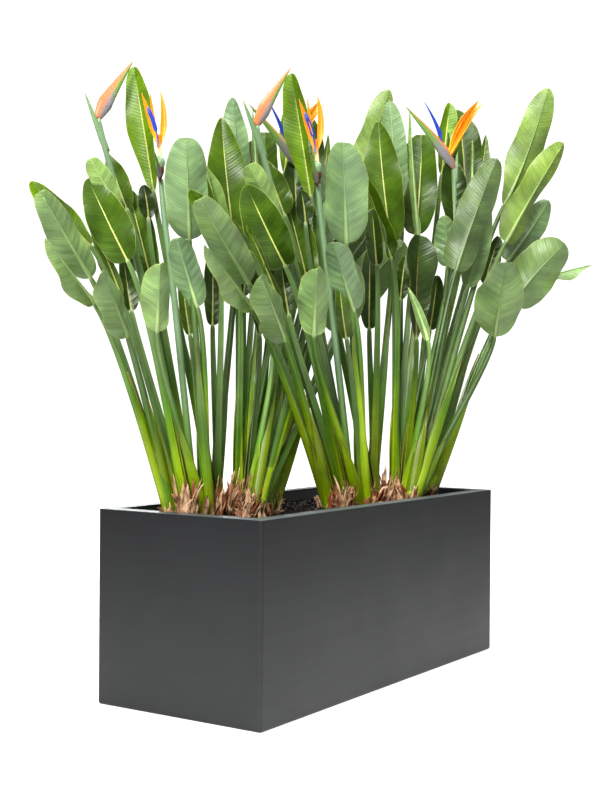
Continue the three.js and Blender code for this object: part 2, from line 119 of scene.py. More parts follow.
def unit(vectors):  # each vector over its own length
    return vectors / np.maximum(np.linalg.norm(vectors, axis=-1, keepdims=True), 1e-9)


def setStudio(look):  # a white world that dims from the ceiling down, and soft panels that face their targets
    world = bpy.data.worlds.new("studioWhite")
    world.use_nodes = True
    tree = world.node_tree
    direction = addNode(tree, "ShaderNodeTexCoord").outputs["Generated"]
    upward = addNode(tree, "ShaderNodeSeparateXYZ", {0: direction}).outputs["Z"]
    lighting = addNode(tree, "ShaderNodeMapRange", {
        "Value": upward, "To Min": look["room"], "To Max": look["ceiling"]})
    ray = addNode(tree, "ShaderNodeLightPath").outputs
    mirrored = addNode(tree, "ShaderNodeMix", {
        0: ray["Is Glossy Ray"], 2: lighting, 3: look["mirrored"]}, data_type="FLOAT")
    strength = addNode(tree, "ShaderNodeMix", {
        0: ray["Is Camera Ray"], 2: mirrored, 3: look["backdrop"]}, data_type="FLOAT")
    setInputs(tree, tree.nodes["Background"], {"Color": (1, 1, 1, 1), "Strength": strength})
    bpy.context.scene.world = world
    bpy.context.scene.view_settings.view_transform = "Standard"
    bpy.context.scene.view_settings.look = "Medium High Contrast"  # as crisp as a catalogue picture
    for name, place, target, width, height, watts in look["panels"]:
        data = bpy.data.lights.new(name, "AREA")
        data.shape = "RECTANGLE"
        data.size, data.size_y, data.energy = width, height, watts
        panel = bpy.data.objects.new(name, data)
        back = unit(np.subtract(place, target))
        side = unit(np.cross((0, 0, 1), back))
        turn = Matrix([side, np.cross(back, side), back]).transposed().to_4x4()
        panel.matrix_world = Matrix.Translation(place) @ turn
        bpy.context.scene.collection.objects.link(panel)


setStudio(studio)
print("studio lit")


def smooth(low, high, value):  # 0 below low, 1 above high, an S curve between
    share = np.clip((value - low) / (high - low), 0, 1)
    return share * share * (3 - 2 * share)


def bezier(points, t):  # neighbours are blended until two are left, which give the place and the tangent
    level = [np.broadcast_to(np.asarray(point, float), (len(t), 3)) for point in points]
    share = t[:, None]
    while len(level) > 2:
        level = [a + share * (b - a) for a, b in zip(level, level[1:])]
    return level[0] + share * (level[1] - level[0]), unit(level[1] - level[0])


# A smooth curve through all points: a cubic for each stretch, whose ends lean on the points beside it.
def throughPoints(points, count):
    given = np.asarray(points, float)
    full = np.vstack([2 * given[0] - given[1], given, 2 * given[-1] - given[-2]])
    u = np.linspace(0, len(given) - 1, count)
    i = np.minimum(u.astype(int), len(given) - 2)
    f = (u - i)[:, None]
    a, b, c, d = full[i], full[i + 1], full[i + 2], full[i + 3]
    square = (2 * a - 5 * b + 4 * c - d) * f ** 2
    cube = (3 * b - a - 3 * c + d) * f ** 3
    place = 0.5 * (2 * b + (c - a) * f + square + cube)
    return place, unit(np.gradient(place, axis=0))


def closedSheet(upper, lower):  # two grids of points back to back, their borders joined by a strip
    rows, columns = upper.shape[:2]
    index = np.arange(rows * columns).reshape(rows, columns)
    quads = np.stack([index[:-1, :-1], index[:-1, 1:], index[1:, 1:], index[1:, :-1]], -1).reshape(-1, 4)
    border = np.concatenate([index[0, :-1], index[:-1, -1], index[-1, :0:-1], index[:0:-1, 0]])
    after = np.roll(border, -1)
    count = rows * columns
    rim = np.stack([border, border + count, after + count, after], -1)
    points = np.concatenate([upper.reshape(-1, 3), lower.reshape(-1, 3)])
    return points, np.concatenate([quads, quads[:, ::-1] + count, rim])


def closedTube(rings):  # rings of an even number of points, joined by walls, with a flat cap at each end
    count, sides = rings.shape[:2]
    index = np.arange(count * sides).reshape(count, sides)
    around = np.roll(index, -1, axis=1)
    walls = np.stack([index[:-1], around[:-1], around[1:], index[1:]], -1).reshape(-1, 4)
    half = np.arange(sides // 2 - 1)
    cap = np.stack([half, half + 1, sides - 2 - half, sides - 1 - half], -1)
    return rings.reshape(-1, 3), np.concatenate([walls, cap[:, ::-1], cap + (count - 1) * sides])


def facingOut(points, quads):  # a shell whose volume comes out negative is turned inside out
    a, b, c, d = (points[quads[:, i]] for i in range(4))
    volume = np.einsum("ij,ij->", a, np.cross(b, c)) + np.einsum("ij,ij->", a, np.cross(c, d))
    return quads if volume > 0 else quads[:, ::-1]


# shells is a list of (points in metres, quads, marks), marks being named (n, 3) arrays.
def newPiece(name, shells, material, nodes=()):
    start, points, quads = 0, [], []
    marks = {key: [] for key in shells[0][2]}
    for shellPoints, shellQuads, shellMarks in shells:
        points.append(shellPoints)
        quads.append(facingOut(shellPoints - shellPoints.mean(axis=0), shellQuads) + start)
        start += len(shellPoints)
        for key, value in shellMarks.items():
            marks[key].append(value)
    points, quads = np.concatenate(points), np.concatenate(quads)
    mesh = bpy.data.meshes.new(name)
    mesh.vertices.add(len(points))
    mesh.vertices.foreach_set("co", points.astype(np.float32).ravel())
    mesh.loops.add(quads.size)
    mesh.loops.foreach_set("vertex_index", quads.astype(np.int32).ravel())
    mesh.polygons.add(len(quads))
    mesh.polygons.foreach_set("loop_start", np.arange(len(quads), dtype=np.int32) * 4)
    mesh.polygons.foreach_set("use_smooth", np.ones(len(quads), dtype=bool))
    mesh.update(calc_edges=True)
    for key, value in marks.items():
        layer = mesh.attributes.new(key, "FLOAT_VECTOR", "POINT")
        layer.data.foreach_set("vector", np.concatenate(value).astype(np.float32).ravel())
    mesh.materials.append(material)
    mesh.validate()
    piece = bpy.data.objects.new(name, mesh)
    bpy.context.scene.collection.objects.link(piece)
    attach(piece, "root")
    if nodes:
        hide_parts(*nodes)
    return piece


def newMaterial(name):  # an empty material, its tree, and the place on the piece in metres
    material = bpy.data.materials.new(name)
    material.use_nodes = True
    place = addNode(material.node_tree, "ShaderNodeTexCoord").outputs["Object"]
    return material, material.node_tree, place


# Colour, roughness and a fine relief go into the shader.
def finishMaterial(material, look, colour, roughness, height):
    tree = material.node_tree
    bump = addNode(tree, "ShaderNodeBump", {
        "Height": height, "Strength": look["bumpStrength"], "Distance": look["bumpHeight"]})
    setInputs(tree, tree.nodes["Principled BSDF"], {
        "Base Color": colour, "Roughness": roughness, "Normal": bump})
    return material


# Satin lacquer, sprayed on a fibre composite body: a soft broad sheen, a tone that pales towards
# the foot as a painted reflection of the pale floor, a painted highlight along the rim's top, clouds a
# hand wide and faint level streaks from the sanding under the lacquer.
planterLacquer = {
    "colour": "#17181a",
    "cloud": "#1b1c1e",
    # the foot's tones: the lacquer paled by a painted reflection of the pale floor
    "foot": "#343536",
    "footReflectionCloud": "#393a3b",
    # painted highlight: the rim's top, lighter where the light catches it
    "rimHighlight": "#5c6063",
    "roughness": 0.42,
    "cloudSize": 0.16,  # metres
    "streakHeight": 0.011,
    "streakScale": (2.2, 2.2),  # streaks in a metre, along and across
    "streakShare": 0.38,
    "reflectionTop": 0.02,  # metres over the floor, from where the foot's painted floor reflection fades up to the rim
    "rimTop": 0.400,
    "grainScale": 420.0,
    "bumpStrength": 0.12,
    "bumpHeight": 0.0006,
}


# Clouds and streaks mix two tones at the foot, paler there as a painted reflection of the floor, and two at
# the rim, and height mixes those; a painted highlight covers the rim's top.
def makePlanterLacquer(look):
    material, tree, place = newMaterial("satinAnthraciteLacquer")
    height = addNode(tree, "ShaderNodeSeparateXYZ", {0: place}).outputs["Z"]
    clouds = addNode(tree, "ShaderNodeTexNoise", {
        "Vector": place, "Scale": 1 / look["cloudSize"], "Detail": 3.0, "Roughness": 0.55})
    level = addNode(tree, "ShaderNodeMapping", {
        "Vector": place, "Scale": (*look["streakScale"], 1 / look["streakHeight"])})
    streaks = addNode(tree, "ShaderNodeTexNoise", {"Vector": level, "Scale": 1.0, "Detail": 4.0})
    cloudPart = addNode(tree, "ShaderNodeMath", {
        0: clouds, 1: 1 - look["streakShare"]}, operation="MULTIPLY")
    shade = addNode(tree, "ShaderNodeMath", {
        0: streaks, 1: look["streakShare"], 2: cloudPart}, operation="MULTIPLY_ADD")
    spots = addNode(tree, "ShaderNodeMapRange", {"Value": shade, "From Min": 0.36, "From Max": 0.64})
    lower, upper = (addNode(tree, "ShaderNodeMix", {
        0: spots, 6: toLinear(look[plain]), 7: toLinear(look[cloudy])}, data_type="RGBA")
        for plain, cloudy in (("foot", "footReflectionCloud"), ("colour", "cloud")))
    top = look["rimTop"]
    # the foot starts with its painted floor reflection, then the upper tones and the rim's painted highlight
    # go over it
    colour = lower
    for low, high, tone in ((look["reflectionTop"], top, upper), (top - 0.0016, top - 0.0004, look["rimHighlight"])):
        share = addNode(tree, "ShaderNodeMapRange", {"Value": height, "From Min": low, "From Max": high})
        tone = toLinear(tone) if isinstance(tone, str) else tone
        colour = addNode(tree, "ShaderNodeMix", {0: share, 6: colour, 7: tone}, data_type="RGBA")
    gloss = addNode(tree, "ShaderNodeMapRange", {
        "Value": shade, "From Min": 0.3, "From Max": 0.7,
        "To Min": look["roughness"] + 0.05, "To Max": look["roughness"] - 0.04})
    grain = addNode(tree, "ShaderNodeTexNoise", {"Vector": place, "Scale": look["grainScale"], "Detail": 2.0})
    return finishMaterial(material, look, colour, gloss, grain)


# Potting soil: dark fibrous peat and bark, matt and moist, in crumbs of 3 to 10 mm.
pottingSoil = {"dark": "#0c0603", "brown": "#2c1a10", "crumb": 0.006, "dustScale": 90.0,
               "roughness": 0.9, "bumpStrength": 0.9, "bumpHeight": 0.002}


# Crumb shades times dust mix the two tones, and the way to a crumb's middle is the relief.
def makePottingSoil(look):
    material, tree, place = newMaterial("moistPeatSoil")
    crumbs = addNode(tree, "ShaderNodeTexVoronoi", {"Vector": place, "Scale": 1 / look["crumb"]}).outputs
    dust = addNode(tree, "ShaderNodeTexNoise", {"Vector": place, "Scale": look["dustScale"], "Detail": 5.0})
    tone = addNode(tree, "ShaderNodeMath", {0: crumbs["Color"], 1: dust}, operation="MULTIPLY")
    colour = addNode(tree, "ShaderNodeMix", {
        0: tone, 6: toLinear(look["dark"]), 7: toLinear(look["brown"])}, data_type="RGBA")
    return finishMaterial(material, look, colour, look["roughness"], crumbs["Distance"])


# Perlite: white expanded volcanic glass, chalky and full of pores, in grains of 2 to 4 mm.
perliteLook = {"white": "#d6cfbf", "shade": "#948b7c", "pore": 0.0012,
               "roughness": 0.85, "bumpStrength": 0.5, "bumpHeight": 0.0005}


# Noise as fine as the pores mixes the two tones and is the relief.
def makePerlite(look):
    material, tree, place = newMaterial("chalkyPerlite")
    pores = addNode(tree, "ShaderNodeTexNoise", {"Vector": place, "Scale": 1 / look["pore"], "Detail": 2.0})
    colour = addNode(tree, "ShaderNodeMix", {
        0: pores, 6: toLinear(look["shade"]), 7: toLinear(look["white"])}, data_type="RGBA")
    return finishMaterial(material, look, colour, look["roughness"], pores)


# Strelitzia leaf: a leathery blade with a thick waxy cuticle. The upper side is deep green with a
# satin gloss, the underside has a grey wax bloom; side veins leave the yellow midrib about 5 mm
# apart, drawn 7 mm apart so that they show, and soft streaks of tone follow them. Stalks go from
# grey-green at the top to green and to lime at the foot, with a dry thread along a sheath's edge.
leafCuticle = {
    "upperDeep": "#2b430c",
    "upperFresh": "#6f9214",
    "underBloom": "#7f9c70",
    "underFresh": "#90ab3c",
    "upperRib": "#c9cd78",
    "underRib": "#b3cd88",
    "dryRib": "#7d4a26",
    "margin": "#b9bb66",
    "stalkTop": "#728c55",
    "stalkMiddle": "#55830f",
    "stalkFoot": "#a8c408",
    "dryEdge": "#a59a4e",
    "veinSpacing": 7.0,  # millimetres, as are the next four
    "veinWander": 2.4,
    "streakWidth": 13.0,
    "ribHalf": 2.3,
    "marginWidth": 1.3,
    "marginShare": 0.5,
    "patchFresh": 0.5,
    "stalkMottle": 0.35,
    "veinTone": 0.1,
    "streakTone": 0.13,
    "patchTone": (0.82, 1.12),
    "baseShadeTone": (0.88, 1.06),  # painted shade, darkest at the blade's base where its neighbours shade it, lifting towards its tip; stalks and sheaths keep its darkest value
    "patchScale": 16.0,
    "fineScale": 130.0,
    "limeTo": 90.0,  # stalk heights over the soil where the colours change
    "greenTo": 330.0,
    "limeSpread": 240.0,  # how far those heights differ from leaf to leaf
    "upperRoughness": 0.41,
    "underRoughness": 0.4,
    "streakGloss": 0.2,
    "veinRelief": 0.6,
    "bumpStrength": 0.3,
    "bumpHeight": 0.0005,
}


# Tones are mixed in layers for blade and stalk, then darkened by the product of the patterns and
# by painted shade towards the blade's base.
def makeLeafCuticle(look):
    material, tree, where = newMaterial("waxyLeafCuticle")
    sockets = []
    for name in ("leafPlace", "leafSkin", "leafPattern"):
        mark = addNode(tree, "ShaderNodeAttribute", attribute_name=name).outputs["Vector"]
        sockets += addNode(tree, "ShaderNodeSeparateXYZ", {0: mark}).outputs[:]
    across, along, margin, upper, fresh, light, vein, seed, height = sockets
    patches, fine = (addNode(tree, "ShaderNodeTexNoise", {"Vector": where, "Scale": scale, "Detail": 3.0})
                     for scale in (look["patchScale"], look["fineScale"]))
    # streaks run with the veins, and each leaf has its own
    streakPlace = addNode(tree, "ShaderNodeCombineXYZ", {
        0: addNode(tree, "ShaderNodeMath", {0: vein, 1: look["streakWidth"]}, operation="DIVIDE"),
        1: addNode(tree, "ShaderNodeMath", {0: across, 1: 5 * look["streakWidth"]}, operation="DIVIDE"),
        2: addNode(tree, "ShaderNodeMath", {0: seed, 1: 40.0}, operation="MULTIPLY")})
    streaks = addNode(tree, "ShaderNodeTexNoise", {"Vector": streakPlace, "Scale": 1.0, "Detail": 2.0})
    # the midrib narrows to a quarter at the tip; a stalk's colours start at a height of its own
    reach = addNode(tree, "ShaderNodeMath", {
        0: along, 1: -0.75 * look["ribHalf"], 2: look["ribHalf"]}, operation="MULTIPLY_ADD")
    offRib = addNode(tree, "ShaderNodeMath", {0: across}, operation="ABSOLUTE")
    ribPlace = addNode(tree, "ShaderNodeMath", {0: offRib, 1: reach}, operation="DIVIDE")
    own = addNode(tree, "ShaderNodeMath", {0: seed, 1: 0.5}, operation="SUBTRACT")
    shift = addNode(tree, "ShaderNodeMath", {
        0: own, 1: look["limeSpread"], 2: height}, operation="MULTIPLY_ADD")
    lime, width, streakTone = look["limeTo"], look["marginWidth"], look["streakTone"]
    shares = {  # value, its range, and what that range becomes
        "dry": (light, -0.1, -0.9, 0.0, 1.0),
        "rib": (ribPlace, 1.2, 0.7, 0.0, 1.0),
        "underRib": (along, 0.75, 0.0, 0.12, 0.9),
        "upperRib": (along, 0.95, 0.65, 0.0, 1.0),
        "margin": (margin, width, 0.4 * width, 0.0, 1.0),
        "green": (shift, lime - 60, lime + 110, 0.0, 1.0),
        "grey": (shift, lime + 40, look["greenTo"], 0.0, 1.0),
        "blade": (along, -0.02, 0.02, 0.0, 1.0),
        "veins": (patches, 0.3, 0.7, 0.35, 1.0),
        "streaks": (streaks, 0.3, 0.7, 1 - streakTone, 1 + streakTone),
        "patches": (patches, 0.3, 0.7, *look["patchTone"]),
        # painted shade: the blade darker towards its base, where the leaves shade each other
        "growth": (along, 0.0, 0.8, *look["baseShadeTone"]),
    }
    for name, (value, low, high, toLow, toHigh) in shares.items():
        shares[name] = addNode(tree, "ShaderNodeMapRange", {
            "Value": value, "From Min": low, "From Max": high, "To Min": toLow, "To Max": toHigh,
        }, interpolation_type="SMOOTHSTEP")
    # each side has its own two tones, mixed by how fresh the leaf is and by soft patches
    offset = addNode(tree, "ShaderNodeMath", {
        0: patches, 1: look["patchFresh"], 2: -look["patchFresh"] / 2}, operation="MULTIPLY_ADD")
    freshness = addNode(tree, "ShaderNodeMath", {0: fresh, 1: offset}, operation="ADD")
    ribFade = addNode(tree, "ShaderNodeMix", {
        0: upper, 2: shares["underRib"], 3: shares["upperRib"]}, data_type="FLOAT")
    ribShare = addNode(tree, "ShaderNodeMath", {0: shares["rib"], 1: ribFade}, operation="MULTIPLY")
    paleEdge = addNode(tree, "ShaderNodeMath", {
        0: shares["margin"], 1: look["marginShare"]}, operation="MULTIPLY")
    mottle = addNode(tree, "ShaderNodeMath", {0: patches, 1: look["stalkMottle"]}, operation="MULTIPLY")
    tones = {key: toLinear(value) for key, value in look.items() if isinstance(value, str)}
    # new tone, share, and the two tones it is mixed from; a later line uses the earlier ones. On the
    # underside the midrib melts into the blade, and on some leaves it has dried to brown.
    for name, share, first, second in (
            ("upperSide", freshness, "upperDeep", "upperFresh"),
            ("underside", freshness, "underBloom", "underFresh"),
            ("blade", upper, "underside", "upperSide"),
            ("upperRib", shares["dry"], "upperRib", "dryRib"),
            ("rib", upper, "underRib", "upperRib"),
            ("blade", ribShare, "blade", "rib"),
            ("blade", paleEdge, "blade", "margin"),
            ("stalk", shares["green"], "stalkFoot", "stalkMiddle"),
            ("stalk", shares["grey"], "stalk", "stalkTop"),
            ("stalk", mottle, "stalk", "stalkMiddle"),
            ("stalk", shares["margin"], "stalk", "dryEdge"),
            ("leaf", shares["blade"], "stalk", "blade")):
        tones[name] = addNode(tree, "ShaderNodeMix", {
            0: share, 6: tones[first], 7: tones[second]}, data_type="RGBA")
    # tone: the veins' fine lines, the streaks between them, soft patches, the leaf's lightness and
    # painted shade that darkens the blade towards its base
    wavy = addNode(tree, "ShaderNodeMath", {
        0: fine, 1: look["veinWander"], 2: vein}, operation="MULTIPLY_ADD")
    turn = addNode(tree, "ShaderNodeMath", {
        0: wavy, 1: 2 * math.pi / look["veinSpacing"]}, operation="MULTIPLY")
    wave = addNode(tree, "ShaderNodeMath", {0: turn}, operation="SINE")
    faded = addNode(tree, "ShaderNodeMath", {0: wave, 1: shares["veins"]}, operation="MULTIPLY")
    shade = addNode(tree, "ShaderNodeMath", {
        0: faded, 1: look["veinTone"], 2: 1.0}, operation="MULTIPLY_ADD")
    # the leaf's lightness: its own tone, with painted light and shade in it
    lightness = addNode(tree, "ShaderNodeMath", {0: light}, operation="ABSOLUTE")
    for factor in (shares["streaks"], lightness, shares["patches"], shares["growth"]):
        shade = addNode(tree, "ShaderNodeMath", {0: shade, 1: factor}, operation="MULTIPLY")
    colour = addNode(tree, "ShaderNodeHueSaturation", {"Value": shade, "Color": tones["leaf"]})
    sheen = addNode(tree, "ShaderNodeMath", {
        0: upper, 1: look["upperRoughness"] - look["underRoughness"],
        2: look["underRoughness"] - look["streakGloss"] / 2}, operation="MULTIPLY_ADD")
    gloss = addNode(tree, "ShaderNodeMath", {
        0: streaks, 1: look["streakGloss"], 2: sheen}, operation="MULTIPLY_ADD")
    grain = addNode(tree, "ShaderNodeMath", {0: fine, 1: 1 - look["veinRelief"]}, operation="MULTIPLY")
    relief = addNode(tree, "ShaderNodeMath", {
        0: wave, 1: look["veinRelief"], 2: grain}, operation="MULTIPLY_ADD")
    return finishMaterial(material, look, colour, gloss, relief)


# Flower skins: smooth, waxy and satin. Marks: x is 1 on the ridge and -1 on the keel, y runs from
# base to tip, z is a kind: 0 scape, 1 spathe, 2 sepal, 3 blue petal, 4 bud scale, 5 cream neck.
flowerSkin = {
    "scape": "#7f9c74",
    "scapeFoot": "#7fae2a",
    "spatheGreen": "#7da04e",
    "spatheGrey": "#938a92",
    "spatheBase": "#bd6c4e",
    "ridge": "#cf7746",
    "sepalBase": "#ffc83a",
    "sepalTip": "#fb920c",
    "sepalFlute": "#fda822",
    "petal": "#2a47b4",
    "petalTip": "#6f7cc4",
    "scaleDark": "#5c2d1d",
    "neck": "#ead9a2",
    "patchScale": 40.0,
    "fineScale": 90.0,
    "uneven": 0.16,
    "flutes": 19.0,
    "roughness": 0.42,
    "bumpStrength": 0.1,
    "bumpHeight": 0.0004,
}


# Each kind has layers mixed over its own tone, and the mark's number picks the kind.
def makeFlowerSkin(look):
    material, tree, where = newMaterial("waxyFlowerSkin")
    mark = addNode(tree, "ShaderNodeAttribute", attribute_name="flowerMark").outputs["Vector"]
    ridge, along, kind = addNode(tree, "ShaderNodeSeparateXYZ", {0: mark}).outputs
    patches, fine = (addNode(tree, "ShaderNodeTexNoise", {"Vector": where, "Scale": scale, "Detail": detail})
                     for scale, detail in ((look["patchScale"], 3.0), (look["fineScale"], 1.0)))
    uneven = addNode(tree, "ShaderNodeMath", {
        0: patches, 1: look["uneven"], 2: -look["uneven"] / 2}, operation="MULTIPLY_ADD")
    level, far = (addNode(tree, "ShaderNodeMath", {0: value, 1: uneven}, operation="ADD")
                  for value in (ridge, along))
    turn = addNode(tree, "ShaderNodeMath", {0: ridge, 1: look["flutes"]}, operation="MULTIPLY")
    flute = addNode(tree, "ShaderNodeMath", {0: turn}, operation="SINE")
    # for each kind its tone, and the layers over it: value, where it starts and is full, how much, tone
    kinds = [
        ("scape", [(along, 0.25, 0.02, 1.0, "scapeFoot")]),
        ("spatheGreen", [(far, 0.6, 0.35, 0.9, "spatheGrey"), (far, 0.16, -0.06, 1.0, "spatheBase"),
                         (level, 0.0, 0.55, 1.0, "ridge")]),
        ("sepalBase", [(far, 0.0, 0.5, 1.0, "sepalTip"), (flute, 0.0, 1.0, 0.5, "sepalFlute")]),
        ("petal", [(far, 0.78, 1.02, 1.0, "petalTip"), (far, 0.3, 0.1, 1.0, "petalTip")]),
        ("scape", [(along, 0.62, 0.5, 1.0, "scaleDark")]),
        ("neck", [(far, 0.35, 0.85, 1.0, "sepalTip")]),
    ]
    for number, (first, layers) in enumerate(kinds):
        tone = toLinear(look[first])
        for value, low, high, strength, over in layers:
            share = addNode(tree, "ShaderNodeMapRange", {
                "Value": value, "From Min": low, "From Max": high, "To Max": strength,
            }, interpolation_type="SMOOTHSTEP")
            tone = addNode(tree, "ShaderNodeMix", {
                0: share, 6: tone, 7: toLinear(look[over])}, data_type="RGBA")
        if number == 0:
            colour = tone
            continue
        share = addNode(tree, "ShaderNodeMapRange", {
            "Value": kind, "From Min": number - 0.6, "From Max": number - 0.4,
        }, interpolation_type="SMOOTHSTEP")
        colour = addNode(tree, "ShaderNodeMix", {0: share, 6: colour, 7: tone}, data_type="RGBA")
    return finishMaterial(material, look, colour, look["roughness"], fine)


# Dry leaf sheath: papery brown fibre, split along its length, matt, with painted shade darkening
# each strip towards its foot.
drySheath = {"pale": "#ecc8a2", "brown": "#985a34", "dark": "#351a0c", "fibre": 0.0016,
             "patchScale": 60.0, "roughness": 0.8, "bumpStrength": 0.7, "bumpHeight": 0.0012}


# Noise drawn out along the fibres mixes brown and pale; painted shade darkens the foot, and
# random patches are darkened too.
def makeDrySheath(look):
    material, tree, where = newMaterial("dryLeafSheath")
    mark = addNode(tree, "ShaderNodeAttribute", attribute_name="huskMark").outputs["Vector"]
    across, along, seed = addNode(tree, "ShaderNodeSeparateXYZ", {0: mark}).outputs
    patches = addNode(tree, "ShaderNodeTexNoise", {
        "Vector": where, "Scale": look["patchScale"], "Detail": 3.0})
    lengthwise = addNode(tree, "ShaderNodeCombineXYZ", {
        0: addNode(tree, "ShaderNodeMath", {0: across, 1: 1 / look["fibre"] / 1000}, operation="MULTIPLY"),
        1: addNode(tree, "ShaderNodeMath", {0: along, 1: 1.5}, operation="MULTIPLY"),
        2: seed})
    fibres = addNode(tree, "ShaderNodeTexNoise", {"Vector": lengthwise, "Scale": 2.0, "Detail": 2.0})
    tone = addNode(tree, "ShaderNodeMath", {0: fibres, 1: 0.5, 2: seed}, operation="MULTIPLY_ADD")
    # value, where the layer starts and is full, how much of it, its tone; the layer by the place along
    # is painted shade at the strips' foot
    colour = toLinear(look["brown"])
    for value, low, high, strength, over in ((tone, 0.4, 1.05, 1.0, "pale"), (along, 0.35, 0.0, 0.7, "dark"),
                                             (patches, 0.48, 0.68, 0.75, "dark")):
        share = addNode(tree, "ShaderNodeMapRange", {
            "Value": value, "From Min": low, "From Max": high, "To Max": strength})
        colour = addNode(tree, "ShaderNodeMix", {
            0: share, 6: colour, 7: toLinear(look[over])}, data_type="RGBA")
    return finishMaterial(material, look, colour, look["roughness"], fibres)


# Floor: a plain pale matt sheet that pales into the backdrop. Its glow is only seen, it lights nothing.
def makeFloor(look):
    material, tree, place = newMaterial("palePaperFloor")
    reach = addNode(tree, "ShaderNodeVectorMath", {0: place}, operation="LENGTH").outputs["Value"]
    near, far = look["floorFade"]
    low, high = look["floorGlow"]
    glow = addNode(tree, "ShaderNodeMapRange", {
        "Value": reach, "From Min": near, "From Max": far, "To Min": low, "To Max": high,
    }, interpolation_type="SMOOTHSTEP")
    seen = addNode(tree, "ShaderNodeLightPath").outputs["Is Camera Ray"]
    shown = addNode(tree, "ShaderNodeMath", {0: glow, 1: seen}, operation="MULTIPLY")
    fibre = addNode(tree, "ShaderNodeTexNoise", {"Vector": place, "Scale": 3.0, "Detail": 2.0})
    tone = addNode(tree, "ShaderNodeMix", {
        0: fibre, 6: toLinear(look["floorColour"]), 7: toLinear(look["floorFleck"])}, data_type="RGBA")
    setInputs(tree, tree.nodes["Principled BSDF"], {
        "Base Color": tone, "Roughness": look["floorRoughness"],
        "Emission Color": (1, 1, 1, 1), "Emission Strength": shown})
    return material


lacquer = makePlanterLacquer(planterLacquer)
soilSkin = makePottingSoil(pottingSoil)
perliteSkin = makePerlite(perliteLook)
leafSkin = makeLeafCuticle(leafCuticle)
petalSkin = makeFlowerSkin(flowerSkin)
huskSkin = makeDrySheath(drySheath)
print("materials made")

planter = {
    "length": 1000.0,
    "width": 410.0,
    "height": 400.0,
    "wall": 34.0,
    "floor": 16.0,
    "corner": 7.0,
    "innerCorner": 1.5,
    "bottomRound": 6.0,
    "rimRound": 2.0,
    "arcSteps": 8,
    "support": 2.5,  # a line of points this far from each rounding keeps the flats flat
}


# Corner arcs about the corner centres, each between two points on the flats beside it.
def rectangleRing(inset, height, size):
    radius = max(size["innerCorner"], size["corner"] - inset)
    reach = np.array([size["length"] / 2 - inset - radius, size["width"] / 2 - inset - radius])
    angles = np.linspace(0, math.pi / 2, size["arcSteps"] + 1)
    points = []
    for quarter, signs in enumerate(((1, 1), (-1, 1), (-1, -1), (1, -1))):
        turned = angles + quarter * math.pi / 2
        arc = np.stack([np.cos(turned), np.sin(turned)], -1) * radius + reach * signs
        first = arc[0] - size["support"] * np.array([-math.sin(turned[0]), math.cos(turned[0])])
        last = arc[-1] + size["support"] * np.array([-math.sin(turned[-1]), math.cos(turned[-1])])
        points.append(np.vstack([first, arc, last]))
    flat = np.concatenate(points)
    return np.column_stack([flat, np.full(len(flat), height)])


# The wall's profile, as inset and height, starts under the bottom, climbs the outside, crosses the
# rim and goes down the inside; each of its points is carried round the rectangle as a ring.
def makePlanter(size):
    quarter = np.linspace(0, math.pi / 2, 6)
    low, rim, support = size["bottomRound"], size["rimRound"], size["support"]
    wall, top = size["wall"], size["height"]
    profile = [(low + 4 * support, 0.0)]
    profile += [(low * (1 - math.sin(a)), low * (1 - math.cos(a))) for a in quarter]
    profile += [(0.0, low + support), (0.0, top - rim - support)]
    profile += [(rim * (1 - math.cos(a)), top - rim * (1 - math.sin(a))) for a in quarter]
    profile += [(rim + support, top), (wall - rim - support, top)]
    profile += [(wall - rim * math.cos(a), top - rim * (1 - math.sin(a))) for a in quarter[::-1]]
    profile += [(wall, top - rim - support), (wall, size["floor"])]
    rings = np.array([rectangleRing(inset, height, size) for inset, height in profile])
    points, quads = closedTube(rings)
    newPiece("planterBody", [(points / 1000, quads, {})], lacquer, ["planter"])


makePlanter(planter)
print("planter made")

soilTop = 375.0
clumps = [
    {"prefix": "a", "x": -300, "y": 43, "turn": -53, "size": 1, "drop": 0, "inner": 1, "pass": 0.55},
    {"prefix": "b", "x": 185, "y": -56, "turn": -59.9, "size": 1.128, "drop": 35, "inner": -1, "pass": 0.75},
]
passing = {"fullFrom": 250, "away": 2740, "up": 264}
fans = {
    "far_left": [-94, 106],
    "left": [-71, 64],
    "inner_left": [-54, -2],
    "front_left": [-28, 62],
    "middle": [-9, -10],
    "centre": [41, -60],
    "front_centre": [55, -14],
    "front_right": [71, 28],
    "back_right": [66, -118],
    "far_right": [103, -80],
}
# Blade outlines: where the blade is widest, and how square its base and its tip are.
outlines = {
    "paddle": (0.48, 2.6, 2.4),
    "oval": (0.48, 2.2, 1.85),
    "lance": (0.46, 2.1, 1.4),
    "spoon": (0.6, 1.6, 1.9),
    "curled": (0.66, 1.2, 2.3),
}
